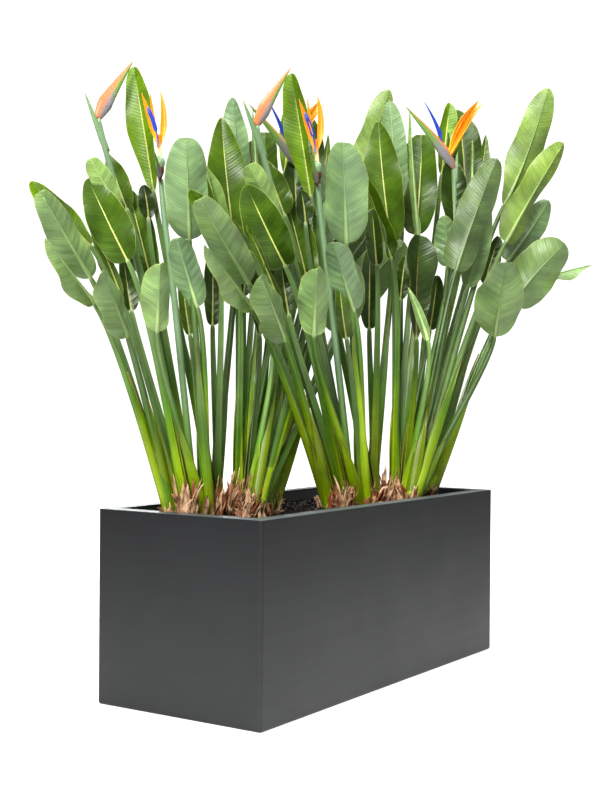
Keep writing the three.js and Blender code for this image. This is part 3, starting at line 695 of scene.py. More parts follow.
# fan, neck, knee and tip as [side, near, up], width, roll, fold, then how fresh and how light it is
# and its outline. The lightness is partly the leaf's own tone and partly painted light and shade,
# matched for each leaf to how bright it looks. A light below 0 marks a midrib that has dried.
leaves = [
    ["far_left", [-254, 225, 545], [-307, 270, 604], [-355, 315, 651], 54, -22, 25, 0.8, 1.1, "oval"],
    ["far_left", [-250, 248, 480], [-285, 300, 540], [-330, 365, 625], 64, 185, 20, 0.3, 0.85, "paddle"],
    ["far_left", [-241, 270, 430], [-276, 330, 478], [-316, 395, 538], 56, 230, 45, 0.35, 0.9, "lance"],
    ["far_left", [-180, 245, 370], [-195, 315, 420], [-215, 390, 480], 68, 222, 30, 0.25, 0.75, "oval"],
    ["left", [-185, 180, 520], [-218, 190, 582], [-262, 195, 678], 88, -10, 25, 0.2, 1.25, "oval"],
    ["left", [-200, 145, 455], [-225, 165, 525], [-260, 190, 600], 36, -20, 30, 0.45, 0.9, "lance"],
    ["inner_left", [-208, 180, 630], [-232, 200, 670], [-255, 220, 712], 46, 175, 20, 0.45, 1.1, "paddle"],
    ["inner_left", [-195, 70, 635], [-215, 70, 685], [-235, 60, 750], 56, 10, 25, 0.35, 1, "lance"],
    ["inner_left", [-145, 70, 490], [-165, 60, 575], [-195, 45, 680], 70, 5, 25, 0.4, 0.95, "oval"],
    ["inner_left", [-150, 100, 615], [-152, 100, 648], [-160, 100, 682], 36, 0, 20, 0.1, 0.65, "oval"],
    ["front_left", [-125, 225, 380], [-120, 270, 440], [-115, 335, 500], 72, 185, 35, 0.3, 1.05, "oval"],
    ["front_left", [-50, 130, 435], [-70, 155, 500], [-90, 195, 565], 60, 170, 20, 0.05, 0.9, "paddle"],
    ["front_left", [-65, 165, 565], [-67, 205, 653], [-71, 250, 750], 91, 180, 20, 0.1, 0.97, "paddle"],
    ["middle", [-140, 90, 670], [-160, 95, 795], [-182, 90, 922], 64, -26, 24, 0.9, 0.95, "spoon"],
    ["middle", [35, -95, 685], [30, -105, 795], [20, -110, 910], 66, 185, 15, 0.08, 0.92, "oval"],
    ["middle", [-5, 50, 535], [-10, 55, 590], [-15, 55, 650], 36, 0, 20, 0.15, 0.8, "paddle"],
    ["middle", [-20, -5, 405], [-20, -10, 485], [-20, -25, 575], 40, 10, 20, 0.1, 0.7, "paddle"],
    ["centre", [25, -55, 590], [5, -45, 725], [-5, -60, 855], 100, -8, 22, 0.42, 0.88, "lance"],
    ["centre", [25, -15, 555], [-5, 15, 650], [-45, 40, 745], 54, 40, 66, 0.35, 1.15, "lance"],
    ["centre", [85, -125, 615], [70, -120, 760], [65, -125, 895], 27, 180, 60, 0.3, 1.15, "lance"],
    ["centre", [50, -160, 650], [55, -180, 735], [65, -205, 835], 52, 10, 20, 0.2, 0.8, "oval"],
    ["front_centre", [80, -28, 385], [75, -5, 485], [85, -20, 605], 84, 25, 24, 0.12, -0.6, "curled"],
    ["centre", [80, -140, 620], [90, -170, 725], [95, -210, 855], 84, -10, 18, 0.2, 0.95, "paddle"],
    ["front_centre", [150, -135, 550], [150, -135, 605], [140, -120, 660], 56, 185, 20, 0.15, 0.9, "oval"],
    ["front_right", [283, -240, 700], [340, -280, 810], [387, -300, 980], 84, 200, 15, 0.62, 0.74, "spoon"],
    ["front_right", [284, -210, 612], [336, -240, 712], [422, -290, 850], 80, 200, 25, 0.7, 0.78, "paddle"],
    ["front_right", [165, -75, 535], [195, -90, 635], [255, -120, 785], 82, 185, 20, 0.3, 0.45, "paddle"],
    ["front_right", [254, -135, 396], [260, -90, 467], [269, -20, 548], 108, 180, 15, 0.3, 0.76, "oval"],
    ["back_right", [140, -245, 770], [150, -265, 855], [160, -295, 945], 50, 10, 25, 0.75, 1, "spoon"],
    ["back_right", [195, -265, 715], [197, -280, 825], [178, -300, 930], 92, 8, 14, 0.3, 0.8, "oval"],
    ["back_right", [235, -315, 710], [240, -335, 795], [250, -370, 885], 38, 30, 25, 0.35, 0.9, "lance"],
    ["back_right", [210, -245, 735], [210, -250, 795], [210, -255, 855], 20, 180, 60, 0.4, 1.1, "lance"],
    ["far_right", [300, -225, 475], [345, -220, 540], [415, -210, 610], 114, 185, 20, 0.35, 0.7, "paddle"],
    ["far_right", [350, -335, 530], [430, -395, 560], [515, -455, 585], 62, 105, 20, 0.25, 1, "lance"],
    ["far_right", [295, -270, 575], [345, -305, 640], [395, -335, 725], 70, 190, 20, 0.15, 0.8, "paddle"],
    ["front_right", [195, -140, 505], [220, -155, 590], [240, -160, 690], 58, 175, 20, 0.2, 0.85, "oval"],
    # leaves that show only between the others
    ["left", [-180, 140, 425], [-191, 130, 478], [-198, 115, 538], 42, 20, 20, 0.2, 0.65, "oval"],
    ["front_left", [-65, 115, 380], [-75, 125, 435], [-80, 130, 495], 34, 20, 20, 0.45, 0.6, "oval"],
    ["centre", [45, -45, 470], [50, -50, 515], [55, -60, 565], 34, 0, 20, 0.15, 0.75, "oval"],
    ["far_right", [240, -245, 520], [255, -265, 575], [275, -290, 635], 44, 10, 20, 0.15, 0.8, "oval"],
    ["back_right", [166, -150, 635], [161, -150, 712], [157, -160, 792], 66, 10, 20, 0.15, 0.7, "oval"],
    ["front_centre", [102, 30, 381], [87, 30, 431], [60, 30, 490], 24, 185, 35, 0.3, 1.1, "lance"],
    ["centre", [112, -130, 410], [122, -130, 470], [128, -130, 530], 46, 5, 20, 0.15, 0.6, "oval"],
]


# Lowers and passes a point as the solids do: it keeps its place seen from the front.
def localPoint(point, clump):
    side, near, up = point
    share = min(max(up / passing["fullFrom"], 0), 1)
    back = clump["pass"] * clump["inner"] * max(0, clump["inner"] * side) * share
    spread = 1 + back / (passing["away"] - near)
    level = passing["up"]
    return np.array([side * spread, back - near, level + (up - level) * spread - clump["drop"] * share])


def toWorld(points, clump):  # turn about the upright, scale, move to the clump's foot, and into metres
    turn = math.radians(clump["turn"])
    x, y, z = np.moveaxis(points * clump["size"], -1, 0)
    world = np.stack([
        x * math.cos(turn) - y * math.sin(turn) + clump["x"],
        x * math.sin(turn) + y * math.cos(turn) + clump["y"],
        z + soilTop], -1)
    return world / 1000


# The upper side's direction, square to the tangent and rolled about it, and the one across.
def ribbonFrame(tangent, roll, outward=(0.0, -1.0, 0.0)):
    outward = np.broadcast_to(np.asarray(outward, float), tangent.shape)
    facing = unit(outward - np.sum(outward * tangent, -1, keepdims=True) * tangent)
    roll = np.reshape(roll, (-1, 1))
    facing = facing * np.cos(roll) + np.cross(tangent, facing) * np.sin(roll)
    return facing, np.cross(facing, tangent)


# A curve's points, moved so much across it and so much up from it.
def beside(centre, across, facing, sideways, height):
    return centre[:, None] + sideways[..., None] * across[:, None] + height[..., None] * facing[:, None]


def ringOf(sides):  # cosines and sines of even steps round a full turn, as two rows
    angle = np.linspace(0, 2 * math.pi, sides, endpoint=False)[None, :]
    return np.cos(angle), np.sin(angle)


def markRows(shape, *values):  # each value broadcast over the grid, one row of them for each point
    return np.stack([np.broadcast_to(np.asarray(value, float), shape).ravel() for value in values], -1)


leafForm = {
    "rows": 54,
    "columns": 23,
    "edge": 0.972,  # share of the half width where the grid has one more line
    "endHalf": (2.2, 0.5),  # least half width, at the neck and anywhere
    "thickness": 1.5,
    "veinSlope": 0.35,  # how far the side veins run towards the tip, and how much more near the margin
    "veinCurve": 0.25,
    "footHalf": 10.5,
    "neckHalf": 4.8,
    "ribHalf": 4.1,
    "channel": 0.35,
    "groove": 1.6,
    "grooveHalf": 2.6,
    "wave": 0.1,
    "waves": 1.9,
    "offBeat": 0.9,
    "waveShift": 1.7,
    "neckShare": 0.22,
    "ripple": 1.7,
    "uneven": 0.05,
    "twist": 13.0,  # degrees that a blade turns to and fro about its midrib
    "lopsided": 0.4,  # how much more one half is folded than the other
    "rippleLength": 17.0,
    "lowBend": 0.3,
    "lift": 0.05,
    "highBend": 0.17,
    "stalkRows": 26,
    "ribRows": 22,
    "sides": 16,
    "ribTip": 0.7,
    "stalkLight": (0.8, 1.32),
    "sheathRows": 16,
    "sheathColumns": 13,
    "sheathThick": 1.0,
    "sheathReach": (0.3, 0.62),  # share of the stalk
    "sheathRound": 1.8,  # half of its arc at the foot, in radians
    "sheathOff": 1.2,
    "crownRing": 5,
    "crownRoot": 3,
    "crownRows": 12,
    "crownSides": 20,
    "crownRadius": 16.5,
    "crownTaper": 0.45,
    "crownSpan": (-30, 32),
    "crownTone": (0.6, 0.9),
}
dice = np.random.default_rng(27)


# Two stretches of a rounded rectangle's curve, meeting at the widest place.
def bladeOutline(t, outline):
    widest, basePower, tipPower = outlines[outline]
    base = np.clip((widest - t) / widest, 0, 1)
    tip = np.clip((t - widest) / (1 - widest), 0, 1)
    lower = (1 - base ** basePower) ** (1 / basePower)
    upper = (1 - tip ** tipPower) ** (1 / tipPower)
    return np.where(t < widest, lower, upper)


# A leaf has two curves: its stalk has four points, from the root to the neck, and its blade has
# three, neck, knee and tip. The stalk leaves its root a little steeper than straight, and nears
# the neck on the blade's own line.
def leafCurves(leaf, order, clump, form):
    foot = fans[leaf[0]]
    spin = order * math.pi / 2
    ring = form["crownRing"]
    root = np.array([foot[0] + ring * math.cos(spin), -foot[1] - ring * math.sin(spin), -form["crownRoot"]])
    neck, knee, tip = (localPoint(point, clump) for point in leaf[1:4])
    length = np.linalg.norm(neck - root)
    rising = root + form["lowBend"] * (neck - root) + np.array([0, 0, form["lift"] * length])
    before = neck - form["highBend"] * length * unit(knee - neck)
    return (root, rising, before, neck), (neck, knee, tip)


# What the cuticle reads: place across, along and in from the margin; upper side, freshness and
# lightness; place along the veins, the leaf's seed and the height over the soil.
def leafMarks(across, along, margin, upper, vein, height, tone, seed):
    shape = np.broadcast_shapes(np.shape(across), np.shape(along), height.shape)
    return {"leafPlace": markRows(shape, across, along, margin),
            "leafSkin": markRows(shape, upper, *tone),
            "leafPattern": markRows(shape, vein, seed, height)}


# A grid over length and width: the outline gives the width, the fold and the margins' waves lift
# it towards the edges, the groove sinks its middle and the ripples follow the side veins.
def bladeShell(leaf, order, blade, clump, form, seed):
    s = np.linspace(0, 1, form["rows"])
    t = (0.6 * s + 0.4 * (0.5 - 0.5 * np.cos(math.pi * s)))[:, None]
    core = np.linspace(-1, 1, form["columns"])
    v = np.sort(np.append(np.sign(core) * np.abs(core) ** 1.2, [-form["edge"], form["edge"]]))[None, :]
    centre, tangent = bezier(blade, t[:, 0])
    turning = form["twist"] * np.sin(3.2 * t[:, 0] + 40 * seed) * t[:, 0]
    facing, across = ribbonFrame(tangent, np.radians(leaf[5] + turning))
    length = np.sum(np.linalg.norm(np.diff(centre, axis=0), axis=1))
    width, fold = leaf[4], math.radians(leaf[6])
    outline = bladeOutline(t, leaf[9])
    neckHalf, least = form["endHalf"]
    half = np.maximum(neckHalf * (1 - t), least) + width / 2 * outline
    uneven = np.sin(9 * t + 30 * seed + 2 * np.sign(v)) + 0.4 * np.sin(31 * t + 50 * seed + np.sign(v))
    half = half * (1 - form["uneven"] * (1 + 0.7 * uneven) / 2)
    x = v * half
    flat = smooth(0, form["neckShare"], t)
    lopsided = 1 + form["lopsided"] * np.sign(v) * math.sin(70 * seed)
    angle = form["channel"] * (1 - flat) + fold * flat * lopsided
    phase = 2 * math.pi * form["waves"] * t + order * form["waveShift"]
    wave = np.where(v < 0, np.sin(phase), np.cos(form["offBeat"] * phase))
    vein = t * length - form["veinSlope"] * np.abs(x) - form["veinCurve"] * x * x / (width / 2)
    ripple = np.sin(2 * math.pi * vein / form["rippleLength"] + 9 * seed) * np.abs(v) ** 0.6
    ripple = ripple * (1 - np.abs(v)) ** 0.35 * np.minimum(1, half / 20) * form["ripple"] * (1.1 - leaf[7])
    lift = half * np.sin(angle) * np.abs(v) ** 1.25
    lift = lift + wave * width * form["wave"] * outline * np.abs(v) ** 2.2 + ripple * np.sin(math.pi * t)
    groove = form["groove"] * (1 - t) * np.exp(-(x / form["grooveHalf"]) ** 2)
    thick = form["thickness"] / 2 * (1 - 0.6 * np.abs(v) ** 3) * np.minimum(1, half / 6)
    over, under = (beside(centre, across, facing, x * np.cos(angle), lift + offset - groove)
                   for offset in (thick, -thick))
    points, quads = closedSheet(over, under)
    upper = np.array([1.0, 0.0])[:, None, None]
    heights = np.stack([over, under])[..., 2]
    marks = leafMarks(x, t, half - np.abs(x), upper, vein, heights, leaf[7:9], seed)
    return toWorld(points, clump), quads, marks


# One tube from the foot to the tip. On the stalk its section is a channel; along the blade it
# sinks under the sheet and thins to the midrib. Its half width is a power of the place along it.
def stalkShell(leaf, stem, blade, clump, form, seed):
    stalkT, ribT = np.linspace(0, 1, form["stalkRows"], endpoint=False), np.linspace(0, 0.95, form["ribRows"])
    stalkCentre, stalkTangent = bezier(stem, stalkT)
    ribCentre, ribTangent = bezier(blade, ribT)
    centre = np.concatenate([stalkCentre, ribCentre])
    turning = form["twist"] * np.sin(3.2 * ribT + 40 * seed) * ribT
    roll = np.radians(leaf[5] + np.concatenate([0 * stalkT, turning]))
    facing, across = ribbonFrame(np.concatenate([stalkTangent, ribTangent]), roll)
    slim = min(1.0, leaf[4] / 40 * 0.3 + 0.7)
    stalkHalf = slim * (form["footHalf"] + (form["neckHalf"] - form["footHalf"]) * stalkT ** 0.65)
    ribHalf = slim * (form["ribHalf"] + (form["ribTip"] - form["ribHalf"]) * ribT ** 0.8)
    half = np.concatenate([stalkHalf, ribHalf])[:, None]
    sunk = np.concatenate([np.zeros(len(stalkT)), smooth(0, 0.08, ribT)])[:, None]
    c, s = ringOf(form["sides"])
    channel = 0.34 * np.abs(c) ** 1.5 + np.where(s >= 0, 0.425 * np.abs(s) ** 0.6, -0.85 * np.abs(s) ** 0.9)
    height = half * channel * (1 - sunk) + (-0.9 - 0.6 * half * (1 - s)) * sunk
    rings = beside(centre, across, facing, half * c, height)
    along = np.concatenate([stalkT - 1.0, ribT + 0.001])[:, None]
    points, quads = closedTube(rings)
    upper = np.where(s > 0.2, 0.35, 0.0)
    marks = leafMarks(0.0, along, 50.0, upper, 2.2 * half * c, rings[..., 2], leaf[7:9], seed)
    return toWorld(points, clump), quads, marks


# A sleeve round the lower stalk: its arc closes from most of the way round at the foot to a point
# at its tip, and its edges stand off a little.
def sheathShell(leaf, stem, clump, form, seed, reach):
    s = np.linspace(0, 1, form["sheathRows"])
    t = s * reach
    centre, tangent = bezier(stem, t)
    facing, across = ribbonFrame(tangent, math.radians(leaf[5]))
    half = form["footHalf"] + (form["neckHalf"] - form["footHalf"]) * t ** 0.65 + form["sheathOff"]
    opening = form["sheathRound"] * (1 - s ** 1.4) + 0.02
    v = np.linspace(-1, 1, form["sheathColumns"])[None, :]
    turn = v * opening[:, None]
    stand = 1 + 0.22 * np.abs(v) ** 4 * (0.4 + s[:, None])
    radii = ((half[:, None] + side * form["sheathThick"] / 2) * stand for side in (1, -1))
    outer, inner = (beside(centre, across, facing, radius * np.sin(turn), -0.86 * radius * np.cos(turn))
                    for radius in radii)
    points, quads = closedSheet(outer, inner)
    margin = (1 - np.abs(v)) * (opening * half)[:, None]
    margin = np.minimum(margin, ((1 - s) * 60)[:, None]) + 0.35
    heights = np.stack([outer, inner])[..., 2] * 0.85
    marks = leafMarks(0.0, -0.5, margin, 0.0, 2.2 * half[:, None] * turn, heights, leaf[7:9], seed)
    return toWorld(points, clump), quads, marks


# The bulge where a fan's stalks sheathe each other: rings that rise from under the soil and shrink,
# with three and seven shallow lobes.
def crownShell(foot, clump, form, seed):
    t = np.linspace(0, 1, form["crownRows"])[:, None]
    angle = np.linspace(0, 2 * math.pi, form["crownSides"], endpoint=False)[None, :]
    lobes = 1 + 0.05 * np.sin(3 * angle + 20 * seed) + 0.04 * np.sin(7 * angle)
    radius = form["crownRadius"] * (1 - form["crownTaper"] * t ** 1.6) * lobes
    low, high = form["crownSpan"]
    height = low + (high - low) * t + 0 * angle
    rings = np.stack([foot[0] + radius * np.cos(angle), -foot[1] + radius * np.sin(angle), height], -1)
    points, quads = closedTube(rings)
    marks = leafMarks(0.0, -0.5, 50.0, 0.0, 0.0, height, form["crownTone"], seed)
    return toWorld(points, clump), quads, marks


def makeFans(clump):  # one piece for each fan: its crown, and stalk, blade and sheath of each leaf
    for name in fans:
        shells = [crownShell(fans[name], clump, leafForm, dice.random())]
        for order, leaf in enumerate(leaves):
            if leaf[0] != name:
                continue
            seed = dice.random()
            stem, blade = leafCurves(leaf, order, clump, leafForm)
            stalk = leaf[:8] + [abs(leaf[8]) * dice.uniform(*leafForm["stalkLight"])]
            shells.append(stalkShell(stalk, stem, blade, clump, leafForm, seed))
            shells.append(bladeShell(leaf, order, blade, clump, leafForm, seed))
            reach = dice.uniform(*leafForm["sheathReach"])
            shells.append(sheathShell(stalk, stem, clump, leafForm, seed, reach))
        prefix = clump["prefix"]
        newPiece(f"{prefix}Fan_{name}", shells, leafSkin, [f"{prefix}_fan_{name}"])


flowers = {
    "bud_flower": {
        "scape": [[-68, 28, -2], [-140, 75, 397], [-215, 135, 675], [-246, 168, 800]],
        "spathe": [[-247, 168, 800], [-226, 151, 850], [-181, 114, 928]],
        "beakHalf": 20.0,
        "sheath": [[-229, 150, 738], [-270, 190, 846]],
        "sepals": [],
        "petals": [],
    },
    "crane_flower": {
        "scape": [[62, -88, -2], [113, -106, 255], [150, -143, 476], [165, -155, 670], [163, -153, 775]],
        "spathe": [[166, -155, 768], [128, -124, 822], [53, -60, 886]],
        "beakHalf": 18.5,
        "sheath": [[165, -155, 735], [171, -152, 805]],
        "sepals": [
            [[152, -144, 790], [170, -158, 866], [220, -208, 929], 27, 20],
            [[150, -140, 790], [180, -158, 860], [226, -190, 918], 24, -30],
            [[148, -140, 790], [174, -146, 862], [214, -172, 920], 24, 50],
        ],
        "petals": [[[143, -136, 790], [134, -128, 850], [93, -94, 905], 11, 10]],
    },
    "facing_flower": {
        "scape": [[-50, 36, -2], [-95, 102, 438], [-116, 112, 603], [-125, 114, 692]],
        "spathe": [[-125, 106, 686], [-128, 168, 716], [-134, 236, 730]],
        "beakHalf": 9.0,
        "sheath": [[-116, 108, 590], [-112, 112, 655]],
        "bud": [(0, 1.5), (0.2, 5), (0.42, 9), (0.5, 7.5), (0.56, 8.5), (0.75, 10.5), (0.9, 8), (1, 2)],
        "budLine": [[-126, 128, 684], [-126, 130, 736]],
        "neck": [(0, 4.5), (0.5, 3.6), (1, 3.2)],
        "neckLine": [[-125, 128, 728], [-129, 132, 778]],
        "sepals": [
            [[-128, 122, 752], [-112, 122, 805], [-127, 120, 869], 21, 10],
            [[-130, 130, 752], [-142, 140, 805], [-162, 152, 855], 19, -15],
            [[-132, 126, 752], [-142, 128, 810], [-147, 130, 862], 12, 40],
        ],
        "petals": [[[-130, 140, 752], [-129, 142, 788], [-150, 152, 828], 16, -20]],
    },
}
flowerForm = {
    "footHalf": 7.0,
    "topHalf": 5.0,
    "scapeRows": 46,
    "sides": 18,
    "beakRows": 44,
    "bluntShare": 0.34,  # of its full depth, at the beak's base
    "swell": 2.2,
    "point": 0.85,
    "slimness": 0.66,  # width over depth
    "bractHalf": 7.6,
    "bractRows": 14,
    "bractSides": 12,
    "budRows": 22,
    "budSides": 16,
    "petalRows": 40,
    "petalColumns": 11,
    "petalThick": 0.75,  # half, in its middle
    "petalKeel": 0.9,
}


def flowerMarks(ridge, along, kind):  # what the flower skin reads: ridge, place along, and kind
    return {"flowerMark": markRows(np.broadcast_shapes(np.shape(ridge), np.shape(along)), ridge, along, kind)}


def scapeShell(flower, clump, form):  # a round stem through the scape's points, with faint lengthwise ribs
    rows = form["scapeRows"]
    centre, tangent = throughPoints([localPoint(point, clump) for point in flower["scape"]], rows)
    facing, across = ribbonFrame(tangent, 0.0)
    t = np.linspace(0, 1, rows)[:, None]
    angle = np.linspace(0, 2 * math.pi, form["sides"], endpoint=False)[None, :]
    half = (form["footHalf"] + (form["topHalf"] - form["footHalf"]) * t) * (1 + 0.03 * np.cos(6 * angle))
    rings = beside(centre, across, facing, half * np.cos(angle), half * np.sin(angle))
    points, quads = closedTube(rings)
    return toWorld(points, clump), quads, flowerMarks(0 * angle, t, 0.0)


# The spathe: deep at its base, long pointed tip, its section a keel below and a closed lip above.
def beakShell(flower, clump, form):
    t = np.linspace(0, 0.998, form["beakRows"])
    centre, tangent = bezier([localPoint(point, clump) for point in flower["spathe"]], t)
    top, across = ribbonFrame(tangent, 0.0, (0.0, 0.0, 1.0))
    t = t[:, None]
    swelling = np.minimum(1, form["bluntShare"] + form["swell"] * t)
    half = flower["beakHalf"] * swelling * (1 - t) ** form["point"] + 0.4
    c, s = ringOf(form["sides"])
    lip = np.maximum(s, 0)
    sideways = form["slimness"] * half * c * (1 - 0.45 * lip ** 2)
    points, quads = closedTube(beside(centre, across, top, sideways, half * (s + 0.1 * lip ** 6)))
    return toWorld(points, clump), quads, flowerMarks(s, t, 1.0)


# A pointed sleeve round the scape's joint: an oval section that swells, then narrows to its tip.
def bractShell(line, clump, form):
    start, end = (localPoint(point, clump) for point in line)
    t = np.linspace(0, 1, form["bractRows"])
    centre, tangent = bezier([start, start + 0.5 * (end - start), end], t)
    facing, across = ribbonFrame(tangent, 0.0)
    t = t[:, None]
    c, s = ringOf(form["bractSides"])
    size = form["bractHalf"] * np.minimum(1, 0.72 + 1.4 * t) * (1 - t) ** 0.7 + 0.4
    points, quads = closedTube(beside(centre, across, facing, size * c, 0.8 * size * s))
    return toWorld(points, clump), quads, flowerMarks(0 * c, 0.3 - 0.15 * t, 0.0)


def sepalOutline(t):  # a sine's arch, widest a little before its middle, with a stub at its base
    return np.sin(math.pi * np.clip(t, 0, 1) ** 0.85) ** 0.85 * 0.94 + 0.1 * (1 - t)


def barOutline(t):  # a thin stem, then an even narrow bar with a pointed end
    return 0.12 + 0.4 * smooth(0.4, 0.46, t) * np.clip((1 - t) / 0.1, 0, 1) ** 0.6


def stalkedOutline(t):  # a short narrow neck, then slim, widest near its middle and pointed
    body = 0.5 * smooth(0.02, 0.4, t) * (1 - np.clip((t - 0.45) / 0.55, 0, 1) ** 1.5)
    return 0.16 + body - 0.16 * smooth(0.7, 1, t)


def arrowOutline(t):  # a thin stem, then two barbs and a long point
    barbs = 0.4
    return np.where(t < barbs, 0.24 + 0.5 * smooth(0.36, 0.4, t), (1 - t) / (1 - barbs))


# A body turned about the line from bottom to top; profile lists (share of the way, radius).
def turnedShell(profile, bottom, top, clump, kind):
    start, end = localPoint(bottom, clump), localPoint(top, clump)
    share, radius = np.array(profile, float).T
    steps = np.linspace(0, 1, flowerForm["budRows"])
    size = np.interp(steps, share, radius)
    size[1:-1] = (size[:-2] + 2 * size[1:-1] + size[2:]) / 4
    size, steps = size[:, None], steps[:, None]
    centre = start + steps * (end - start)
    facing, across = ribbonFrame(np.broadcast_to(unit(end - start), centre.shape), 0.0)
    c, s = ringOf(flowerForm["budSides"])
    points, quads = closedTube(beside(centre, across, facing, size * c, size * s))
    return toWorld(points, clump), quads, flowerMarks(0 * c, steps, kind)


# A keeled pointed sheet along its curve, folded about its middle, with a fine lengthwise flute.
def petalShell(row, outlineAt, kind, clump):
    t = np.linspace(0, 0.995, flowerForm["petalRows"])
    centre, tangent = bezier([localPoint(point, clump) for point in row[:3]], t)
    facing, across = ribbonFrame(tangent, math.radians(row[4]))
    t = t[:, None]
    v = np.linspace(-1, 1, flowerForm["petalColumns"])[None, :]
    half = row[3] / 2 * outlineAt(t) + 0.5
    lift = half * 0.5 * np.abs(v) ** 1.2 + 0.25 * np.cos(9 * v) * np.minimum(1, half / 6)
    keel = flowerForm["petalKeel"] * (1 - np.abs(v)) ** 3 * (1 - t)
    thick = flowerForm["petalThick"] * (1 - 0.5 * np.abs(v) ** 2) + keel
    points, quads = closedSheet(*(beside(centre, across, facing, 0.88 * half * v, height)
                                  for height in (lift + thick, lift - thick)))
    marks = flowerMarks(np.broadcast_to(v, (2, len(t), v.size)), t, kind)
    return toWorld(points, clump), quads, marks


def makeFlowers(clump):  # for each flower a piece of stem, bract and beak, one of sepals, one of petals
    for name, flower in flowers.items():
        prefix = f"{clump['prefix']}_{name}"
        title = clump["prefix"] + "".join(word.capitalize() for word in name.split("_"))
        shells = [scapeShell(flower, clump, flowerForm), beakShell(flower, clump, flowerForm),
                  bractShell(flower["sheath"], clump, flowerForm)]
        if "bud" in flower:
            shells.append(turnedShell(flower["bud"], *flower["budLine"], clump, 4.0))
            shells.append(turnedShell(flower["neck"], *flower["neckLine"], clump, 5.0))
        newPiece(f"{title}Spathe", shells, petalSkin, [f"{prefix}_spathe"])
        outlinesHere = (stalkedOutline, barOutline) if "bud" in flower else (sepalOutline, arrowOutline)
        for part, outline, kind in zip(("sepals", "petals"), outlinesHere, (2.0, 3.0)):
            if flower[part]:
                sheets = [petalShell(row, outline, kind, clump) for row in flower[part]]
                newPiece(title + part.capitalize(), sheets, petalSkin, [f"{prefix}_{part}"])


husks = [
    {"foot": [-69, 129], "height": 98, "lean": -0.05},
    {"foot": [0, 42], "height": 84, "lean": 0.1},
    {"foot": [24, -4], "height": 104, "lean": 0.15},
    {"foot": [48, 52], "height": 70, "lean": 0.25},
]
huskForm = {
    "strips": 30,
    "fibres": 26,
    "drop": 0.8,
    "radius": 14.0,
    "arc": 2.3,  # radians to each side of the front
    "beltStrips": 26,
    "beltHeight": 50.0,
    "beltRadius": 24.0,
    "beltArc": 3.1,
    "rows": 10,
    "columns": 5,
    "thick": 0.7,
    "radiusShare": (0.5, 1.25),  # ranges that each strip draws from
    "riseShare": (0.35, 1.1),
    "outward": (0, 18),
    "sideTwist": (-13, 13),
    "upTwist": (-20, 4),
    "roll": (-0.6, 0.6),
    "half": (1.2, 6.0),
    "taper": (1.5, 8),
    "curl": (-0.9, 1.2),
    "bristleRows": 7,
    "bristleHalf": 0.75,
    "bristleRise": (0.15, 0.85),
}


# A torn strip: it rises from the foot, turns out and curls at its ragged end.
def stripShell(tuft, clump, form, height, ring, arc):
    angle = -math.pi / 2 + dice.uniform(-arc, arc)
    out = np.array([math.cos(angle), math.sin(angle), 0.0])
    radius = ring * dice.uniform(*form["radiusShare"])
    rise = height * dice.uniform(*form["riseShare"])
    foot = np.array([tuft["foot"][0], -tuft["foot"][1], 0.0]) + out * radius
    lean = np.array([tuft["lean"] * rise, 0, rise]) + out * dice.uniform(*form["outward"])
    twist = np.array([dice.uniform(*form[key]) for key in ("sideTwist", "sideTwist", "upTwist")])
    t = np.linspace(0, 1, form["rows"])
    centre, tangent = bezier([foot + [0, 0, -8], foot + 0.5 * lean - 0.25 * twist, foot + lean + twist], t)
    facing, across = ribbonFrame(tangent, dice.uniform(*form["roll"]), out)
    t = t[:, None]
    v = np.linspace(-1, 1, form["columns"])[None, :]
    seed = dice.random()
    half = dice.uniform(*form["half"]) * (1 - 0.97 * t ** dice.uniform(*form["taper"]))
    half = half * (1 + 0.25 * np.sin(11 * t + 20 * seed)) + 0.25
    lift = half * dice.uniform(*form["curl"]) * np.abs(v) ** 1.5 + 0.7 * np.sin(5 * v + 9 * t + 7 * seed)
    points, quads = closedSheet(*(beside(centre, across, facing, half * v, lift + side * form["thick"] / 2)
                                  for side in (1, -1)))
    marks = markRows((2, len(t), v.size), half * v, t, seed)
    return toWorld(points, clump), quads, {"huskMark": marks}


def fibreShell(tuft, clump, form, height):  # a bristle: a thin four-sided thread on a bent line
    angle = dice.uniform(0, 2 * math.pi)
    out = np.array([math.cos(angle), math.sin(angle), 0.0])
    foot = np.array([tuft["foot"][0], -tuft["foot"][1], 2.0]) + out * dice.uniform(6, 20)
    rise = height * dice.uniform(*form["bristleRise"])
    end = foot + out * dice.uniform(-4, 22) + np.array([tuft["lean"] * rise, 0, rise])
    bend = 0.5 * (foot + end) + dice.uniform(-8, 8, 3)
    t = np.linspace(0, 1, form["bristleRows"])
    centre, tangent = bezier([foot, bend, end], t)
    facing, across = ribbonFrame(tangent, 0.0, out)
    ringX, ringY = np.array([[1, 0, -1, 0], [0, 1, 0, -1]])
    half = (form["bristleHalf"] * (1 - 0.7 * t))[:, None]
    points, quads = closedTube(beside(centre, across, facing, half * ringX, half * ringY))
    marks = markRows((len(t), 4), 0.0, t[:, None], dice.random())
    return toWorld(points, clump), quads, {"huskMark": marks}


# Four tufts of strips and bristles, and a belt of short strips round each crown.
def makeHusks(clump, form):
    prefix = clump["prefix"]
    for number, tuft in enumerate(husks, 1):
        height = tuft["height"] - form["drop"] * clump["drop"]
        shells = [stripShell(tuft, clump, form, height, form["radius"], form["arc"])
                  for _ in range(form["strips"])]
        shells += [fibreShell(tuft, clump, form, height) for _ in range(form["fibres"])]
        newPiece(f"{prefix}HuskTuft{number}", shells, huskSkin, [f"{prefix}_husk_tuft_{number}"])
    belt = []
    for foot in fans.values():
        around = {"foot": foot, "lean": dice.uniform(-0.2, 0.2)}
        belt += [stripShell(around, clump, form, form["beltHeight"], form["beltRadius"], form["beltArc"])
                 for _ in range(form["beltStrips"])]
    newPiece(f"{prefix}HuskBelt", belt, huskSkin)


for clump in clumps:
    makeFans(clump)
    makeFlowers(clump)
    makeHusks(clump, huskForm)
    print("clump", clump["prefix"], "made")

